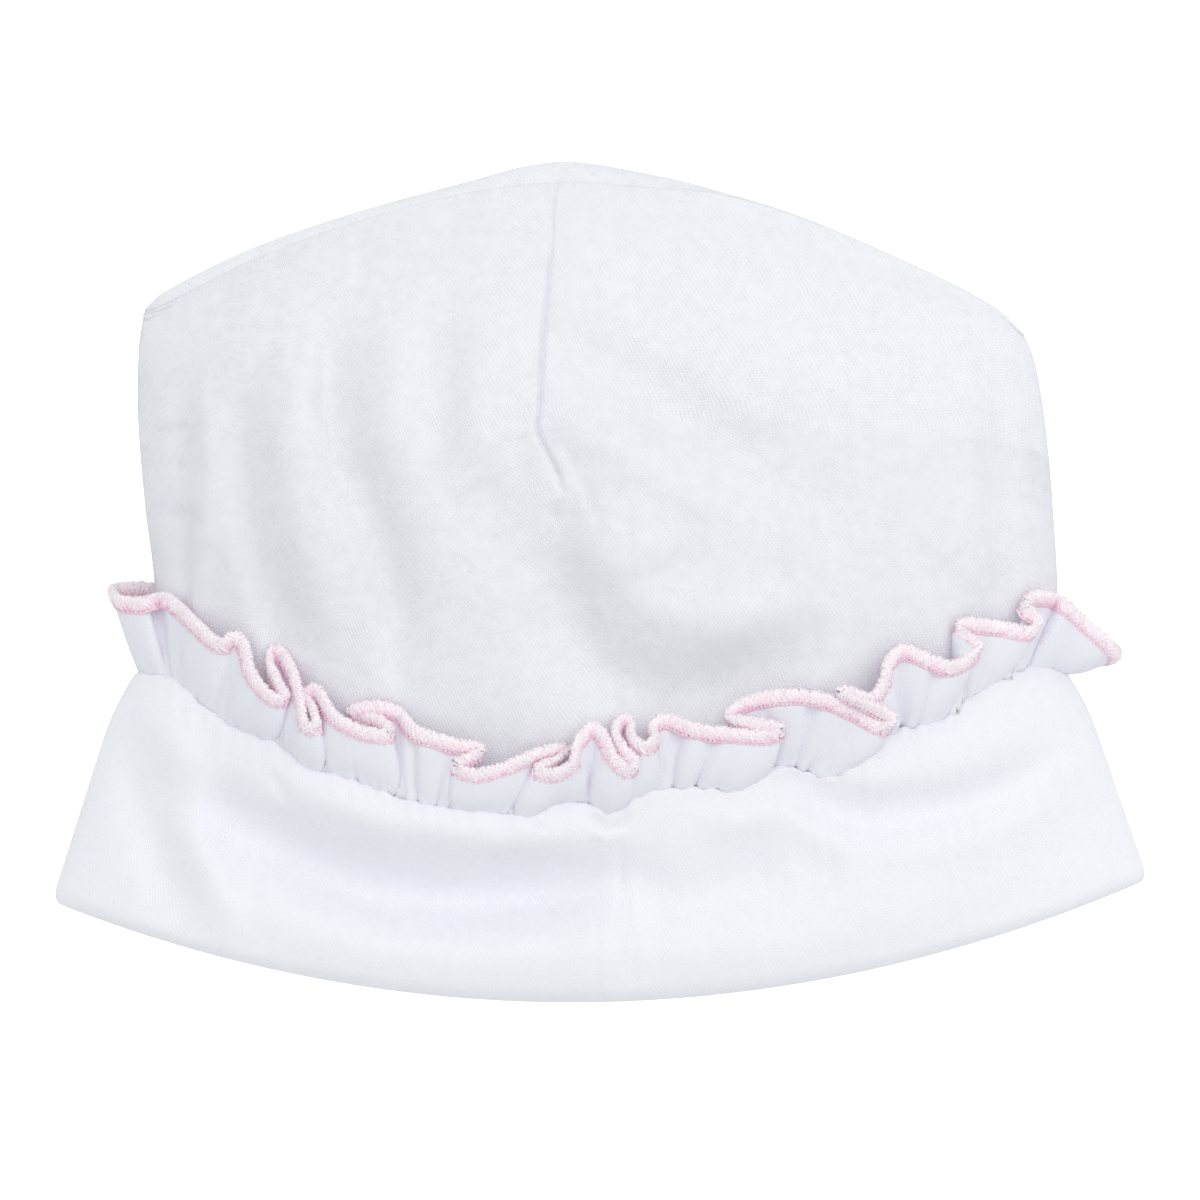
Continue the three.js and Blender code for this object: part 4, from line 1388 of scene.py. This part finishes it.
    def build_strip(self) -> Piece:
        """Builds the gathered strip.

        Returns:
            The strip.
        """
        roots, edges = self.roots, self.edges
        rows = 15
        level = np.linspace(0, 1, rows)[:, None, None]
        up, _ = self.edge_axes()
        top = edges - up * self.edge_gap
        points = mix(roots[None], top[None], level)
        normal = unit(np.cross(self.forward(mix(roots, top, 0.6)), top - roots))
        pleat = ripple(lengths(roots), self.puff_pitch, 0.6)
        fade = np.exp(-level * self.height / self.puff_reach)
        points = points + normal[None] * (self.puff * pleat[None, :, None]) * fade
        points = points - normal[None] * self.crease_depth(level[..., 0])[..., None]
        spare = np.clip((self.height - np.linalg.norm(top - roots, axis=1)) / self.bow_from, 0, 1)
        points = points + normal[None] * (self.bow * spare[None, :, None]) * np.sin(math.pi * level**0.8)
        points = np.concatenate([points, points[:, :1]], axis=1)
        along = lengths(points[-1])
        uv = np.stack(np.broadcast_arrays(along[None, :], level[..., 0] * self.height), axis=2) * MM
        piece = cloth_mesh("ruffle_cloth", points, uv, closed=True)
        piece.data.materials.append(self.knit)
        wall(piece, self.wall, 0)
        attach(piece, "root")
        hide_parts("ruffle")
        return piece

    def crease_depth(self, level: Array) -> Array:
        """Gives how far the cloth is pressed back in the creases between its folds.

        Args:
            level: a column from 0 at the seam to 1 at the free edge.

        Returns:
            Depths in millimetres, rows by places along the run.
        """
        index = np.arange(len(self.roots))
        drawn = np.maximum(np.gradient(self.places) / self.step, 0.12)
        depth = np.zeros((len(level), len(index)))
        for place, low, high, narrow, wide in self.creases:
            at = np.interp(place, self.places, np.arange(len(self.places)))
            width = mix(narrow / np.interp(at, np.arange(len(drawn)), drawn), wide, level)
            hollow = mix(low, high, level) * np.exp(-level * (4 if high == 0 else 0))
            depth = depth + hollow * bell((index[None] - at) * self.step, width)
        return depth

    def edge_line(self) -> EdgeLine:
        """Gives the free edge for the edging to follow."""
        up, wide = self.edge_axes()
        return EdgeLine(self.edges, up, wide, lengths(np.concatenate([self.edges, self.edges[:1]])))


@dataclass(frozen=True)
class EdgeLine:
    """The ruffle's free edge: a closed line with its directions up from the cloth and across it."""

    edges: Array
    up: Array
    wide: Array
    length: Array

    @property
    def total(self) -> float:
        """Gives the edge's whole length in millimetres."""
        return float(self.length[-1])

    def read(self, values: Array, at: Array) -> Array:
        """Reads values of the edge at lengths along it."""
        ring = np.concatenate([values, values[:1]])
        return np.stack([np.interp(at % self.total, self.length, ring[:, k]) for k in range(3)], axis=-1)

    def laid(self, at: Array, high: Array, out: Array) -> Array:
        """Gives places by length along the edge, offset up from the cloth and offset across it."""
        place = self.read(self.edges, at) + self.read(self.up, at) * high[..., None]
        return place + self.read(self.wide, at) * out[..., None]


def wander(rng: np.random.Generator, count: int, step: int, size: float) -> Array:
    """Gives a smooth closed random wave.

    Args:
        rng: the source of its numbers.
        count: how many places it has.
        step: a new value every so many places.
        size: of its values.

    Returns:
        A value for each place.
    """
    marks = rng.normal(0, size, max(count // step, 4))
    marks = np.r_[marks, marks[:1]]
    t = np.arange(count) / count * (len(marks) - 1)
    i = t.astype(int)
    return mix(marks[i], marks[i + 1], ease(t - i, 0, 1))


def keep_rise(piece: Piece, rise: Array, domain: str) -> None:
    """Keeps on a thread how far up the edging each place lies, from 0 to 1, for its finish."""
    layer = piece.data.attributes.new("Rise", "FLOAT", domain)
    layer.data.foreach_set("value", rise.astype(np.float32))


@dataclass
class Edging:
    """The thick overlocked edging: a core, wound threads, a border of small stitches and fluff."""

    line: EdgeLine
    thread: Material
    needle: Material
    height: float = 3.0
    thickness: float = 1.8
    stitch: float = 0.8
    zigzag: float = 0.62
    thread_radius: float = 0.3
    core_depth: float = 0.22
    core_step: float = 0.6
    core_swell: float = 0.06
    bead: float = 1.45
    bead_swell: float = 0.09
    # how unevenly the windings are laid: round the core, along it, out from it, in width and in paleness
    uneven_turn: float = 0.5
    uneven_along: float = 0.14
    uneven_out: float = 0.045
    uneven_width: float = 0.18
    uneven_rise: float = 0.14
    left_ahead: float = 1.3
    border_pitch: float = 0.8
    border_radius: float = 0.25
    border_above: float = 0.3
    border_swing: float = 0.24
    border_out: float = 0.56
    fibres: int = 13000
    fibre_width: float = 0.06
    seed: int = 5

    def build(self) -> list[Piece]:
        """Builds the edging.

        Returns:
            Its pieces.
        """
        rng = np.random.default_rng(self.seed)
        made = [self.core(), self.winding(rng, 1, "right"), self.winding(rng, -1, "left"), self.fluff(rng)]
        borders = [self.border(rng, 1, "front"), self.border(rng, -1, "back")]
        for piece in made:
            piece.data.materials.append(self.thread)
        for piece in borders:
            piece.data.materials.append(self.needle)
        for piece in made + borders:
            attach(piece, "root")
            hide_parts("ruffle_edging")
        return made + borders

    def tube(self, name: str, line: Array, radius: Values, sides: int, rise: Array) -> Piece:
        """Builds a closed thread along a line.

        Args:
            name: the piece's name.
            line: places in millimetres, not closed.
            radius: of the thread, in millimetres.
            sides: faces round it.
            rise: how far up the edging each place lies, from 0 to 1.

        Returns:
            The thread.
        """
        forward = Ruffle.forward(line)
        side = unit(np.cross(forward, np.roll(forward, 5, axis=0) + np.array([0.01, 0.02, 0.99])))
        other = np.cross(side, forward)
        wide = np.broadcast_to(radius, len(line))[None, :, None]
        a = (TAU * np.arange(sides + 1) / sides)[:, None, None]
        points = line[None] + wide * (np.cos(a) * side[None] + np.sin(a) * other[None])
        points = np.concatenate([points, points[:, :1]], axis=1)
        length = lengths(points[0])
        around = np.linspace(0, 1, sides + 1)[:, None]
        uv = np.stack(np.broadcast_arrays(length[None, :] * MM, around), axis=2)
        piece = cloth_mesh(name, points, uv, closed=True)
        along = np.zeros(len(piece.data.loops) * 2)
        piece.data.uv_layers["Cloth"].data.foreach_get("uv", along)
        keep_rise(piece, np.interp(along[::2] / MM, length, np.r_[rise, rise[:1]]), "CORNER")
        return piece

    @staticmethod
    def flat(turn: Array) -> Array:
        """Gives the depth round the edging's section, which is flatter than an oval."""
        return np.sign(np.sin(turn)) * np.abs(np.sin(turn)) ** FLATNESS

    def core(self) -> Piece:
        """Builds the core that the threads are wound over.

        Returns:
            The core.
        """
        count = round(self.line.total / self.core_step)
        at = np.arange(count) / count * self.line.total
        a = TAU * np.arange(9)[:, None] / 8
        beads = np.sin(TAU * at / self.line.total * round(self.line.total / self.bead))
        swell = 1 + self.core_swell * beads[None]
        high, deep = self.height / 2 - self.core_depth, self.thickness / 2 - self.core_depth
        places = np.broadcast_to(at, (9, count))
        ring = self.line.laid(places, np.cos(a) * high * swell, self.flat(a) * deep * swell)
        ring = np.concatenate([ring, ring[:, :1]], axis=1)
        span = np.r_[at, self.line.total] * MM
        uv = np.stack(np.broadcast_arrays(span[None, :], a * MM), axis=2)
        piece = cloth_mesh("edging_core", ring, uv, closed=True)
        keep_rise(piece, np.full(len(piece.data.loops), 0.45), "CORNER")
        return piece

    def winding(self, rng: np.random.Generator, hand: int, word: str) -> Piece:
        """Builds a thread that is wound over the core and slants across the edging.

        Args:
            rng: the source of its unevenness.
            hand: 1 for a right-handed winding and -1 for a left-handed one.
            word: for the piece's name.

        Returns:
            The thread.
        """
        turns = round(self.line.total / self.stitch)
        count = turns * 11
        s = np.arange(count) / count
        phase = hand * TAU * turns * s + wander(rng, count, 15, self.uneven_turn)
        phase += 0 if hand > 0 else self.left_ahead
        slant = -hand * self.zigzag * np.cos(phase)
        at = s * self.line.total + slant + wander(rng, count, 9, self.uneven_along)
        beads = self.bead_swell * np.sin(TAU * s * round(self.line.total / self.bead))
        swell = 1 + wander(rng, count, 7, self.uneven_out) + beads * np.maximum(np.cos(phase), 0)
        high = (self.height / 2 - self.thread_radius) * swell
        deep = (self.thickness / 2 - self.thread_radius) * swell
        line = self.line.laid(at, np.cos(phase) * high, self.flat(phase) * deep)
        radius = self.thread_radius * (1 + wander(rng, count, 4, self.uneven_width))
        rise = np.clip(0.55 + 0.45 * np.cos(phase) + wander(rng, count, 6, self.uneven_rise), 0, 1)
        return self.tube(f"edging_{word}_winding", line, radius, 4, rise)

    def fluff(self, rng: np.random.Generator) -> Piece:
        """Builds the thread's fluff: short curved wisps that lie over the windings.

        Args:
            rng: the source of their places.

        Returns:
            The fluff.
        """
        count = self.fibres
        s = rng.random(count)[:, None]
        turn = rng.uniform(-0.5, 1.0, count)[:, None] * math.pi
        t = np.linspace(-0.5, 0.5, 4)[None]
        hand = rng.choice((-1, 1), (count, 1))
        at = s * self.line.total + (0.45 * hand + rng.uniform(-0.25, 0.25, (count, 1))) * t
        curl = turn + rng.uniform(0.5, 1.2, (count, 1)) * t
        out = 1.0 + 0.12 * rng.random((count, 1)) * (1 - 4 * t**2) + rng.uniform(-0.04, 0.08, (count, 1))
        high, deep = np.cos(curl) * self.height / 2 * out, self.flat(curl) * self.thickness / 2 * out
        fibre = self.line.laid(at, high, deep)
        outward = fibre - self.line.read(self.line.edges, at)
        across = unit(np.cross(np.gradient(fibre, axis=1), outward + rng.normal(0, 0.5, (count, 1, 3))))
        rise = np.clip(0.62 + 0.4 * np.cos(turn) + rng.normal(0, 0.22, (count, 1)), 0, 1)
        half = self.fibre_width / 2 * np.array([0.4, 1, 1, 0.3])[None, :, None]
        edges = np.stack([fibre - across * half, fibre + across * half], axis=1)
        return ribbons_mesh("edging_fluff", edges, np.broadcast_to(rise, (count, 4)))

    def border(self, rng: np.random.Generator, side: int, word: str) -> Piece:
        """Builds the row of small stitches along the edging's lower border.

        Args:
            rng: the source of its unevenness.
            side: 1 for the cloth's front and -1 for its back.
            word: for the piece's name.

        Returns:
            The row.
        """
        links = round(self.line.total / self.border_pitch)
        count = links * 6
        s = np.arange(count) / count
        turn = TAU * links * s
        low = -self.height / 2 + self.border_above + self.border_swing * np.sin(turn)
        low += wander(rng, count, 7, 0.05)
        out = side * (self.border_out + 0.06 * np.cos(turn * 2) + 0.1 * np.sin(turn))
        line = self.line.laid(s * self.line.total + 0.2 * np.cos(turn), low, out)
        rise = np.clip(0.25 + 0.5 * np.sin(turn) + wander(rng, count, 5, 0.2), 0, 1)
        return self.tube(f"edging_border_{word}", line, self.border_radius, 4, rise)


@dataclass
class Studio:
    """The floor, the soft light and the camera straight above the hat."""

    frame_width: float = 0.216
    distance: float = 2.4
    centre_y: float = -0.0033
    aim_height: float = 0.009
    towards: tuple[float, float, float] = (0.08, 0.25, 0.965)
    dim: float = 0.44
    bright: float = 1.2
    fill_tint: Colour = (0.93, 0.965, 1.0, 1)
    key_tint: Colour = (0.982, 1.02, 0.985, 1)
    dimmest_at: float = -0.2
    film_width: float = 36
    floor_half: float = 3
    floor_gap: float = 0.00005

    def floor(self) -> None:
        """Lays the floor."""
        bm = bmesh.new()
        bmesh.ops.create_grid(bm, x_segments=2, y_segments=2, size=self.floor_half)
        mesh = bpy.data.meshes.new("floor")
        bm.to_mesh(mesh)
        bm.free()
        floor = bpy.data.objects.new("floor", mesh)
        floor.location.z = -self.floor_gap
        floor.data.materials.append(FloorFinish().make())
        bpy.context.scene.collection.objects.link(floor)

    def spanned(self, tree: bpy.types.NodeTree, facing: Socket, low: float, high: float) -> Socket:
        """Spreads two values over the studio, from its dim side to its brightest place.

        Args:
            tree: the world's nodes.
            facing: 1 at the brightest place, and less away from it.
            low: the value on the dim side.
            high: the value at the brightest place.

        Returns:
            The value everywhere.
        """
        node = tree.nodes.new("ShaderNodeMapRange")
        ends = {"From Min": self.dimmest_at, "From Max": 1.0, "To Min": low, "To Max": high}
        for name, end in ends.items():
            node.inputs[name].default_value = end
        tree.links.new(facing, node.inputs["Value"])
        return node.outputs["Result"]

    def world(self) -> None:
        """Lights the studio softly from all sides, most from above."""
        world = bpy.data.worlds.new("studio")
        bpy.context.scene.world = world
        world.use_nodes = True
        tree = world.node_tree
        background = tree.nodes["Background"]
        place = tree.nodes.new("ShaderNodeTexCoord")
        facing = tree.nodes.new("ShaderNodeVectorMath")
        facing.operation = "DOT_PRODUCT"
        facing.inputs[1].default_value = self.towards
        tree.links.new(place.outputs["Generated"], facing.inputs[0])
        power = self.spanned(tree, facing.outputs["Value"], self.dim, self.bright)
        tree.links.new(power, background.inputs["Strength"])
        share = self.spanned(tree, facing.outputs["Value"], 0.0, 1.0)
        tint = tree.nodes.new("ShaderNodeMix")
        tint.data_type = "RGBA"
        tint.inputs["A"].default_value = self.fill_tint
        tint.inputs["B"].default_value = self.key_tint
        tree.links.new(share, tint.inputs["Factor"])
        tree.links.new(tint.outputs["Result"], background.inputs["Color"])

    def softbox(self, name: str, place: tuple[float, float, float], size: float, power: float) -> None:
        """Hangs a square soft light that faces the hat.

        Args:
            name: the light's name.
            place: in metres.
            size: of its side, in metres.
            power: in watts.
        """
        data = bpy.data.lights.new(name, "AREA")
        data.size = size
        data.energy = power
        lamp = bpy.data.objects.new(name, data)
        bpy.context.scene.collection.objects.link(lamp)
        lamp.location = place
        lamp.rotation_euler = (-lamp.location).to_track_quat("-Z", "Y").to_euler()
        lamp.visible_camera = False

    def camera(self) -> None:
        """Sets up the camera."""
        data = bpy.data.cameras.new("overhead")
        data.sensor_width = self.film_width
        data.lens = self.film_width * (self.distance - self.aim_height) / self.frame_width
        data.clip_start = 0.1
        data.clip_end = 20
        camera = bpy.data.objects.new("overhead", data)
        camera.location = (0, self.centre_y, self.distance)
        bpy.context.scene.collection.objects.link(camera)
        bpy.context.scene.camera = camera

    def build(self) -> None:
        """Sets up the whole studio."""
        self.floor()
        self.world()
        self.softbox("key", place=(0.95, 0.75, 1.2), size=0.7, power=2)
        self.camera()
        bpy.context.scene.view_settings.view_transform = "Standard"


def main() -> None:
    """Builds the hat and its studio."""
    logging.basicConfig(level=logging.INFO, format="%(name)s: %(message)s")
    form = HatForm()
    knit = KnitFinish("white_interlock").make()
    crown_knit = KnitFinish(
        "crown_interlock",
        light=(0.955, 0.937, 0.99, 1),
        shade=(0.845, 0.832, 0.905, 1),
        relief=0.00034,
    ).make()
    # the ruffle's knit is darker and bluer than the cuff's: partly a single layer reflecting less, partly
    # painted shade
    ruffle_knit = KnitFinish(
        "ruffle_interlock",
        light=(0.885, 0.875, 0.94, 1),
        shade=(0.79, 0.78, 0.86, 1),
        relief=0.00012,
    ).make()
    thread = ThreadFinish("pink_overlock_thread", (1.0, 0.925, 0.975, 1), (1.0, 0.64, 0.82, 1)).make()
    needle = ThreadFinish("pink_border_thread", (1.0, 0.83, 0.91, 1), (1.0, 0.62, 0.77, 1)).make()
    crown = Crown(form, crown_knit)
    ruffle = Ruffle(form, ruffle_knit)
    pieces = [crown.build_front(), crown.build_back(), Cuff(form, knit).build(), ruffle.build_strip()]
    pieces += Edging(ruffle.edge_line(), thread, needle).build()
    for piece in pieces:
        LOG.info("%s: %d faces", piece.name, len(piece.data.polygons))
    Studio().build()


if __name__ == "__main__":
    main()
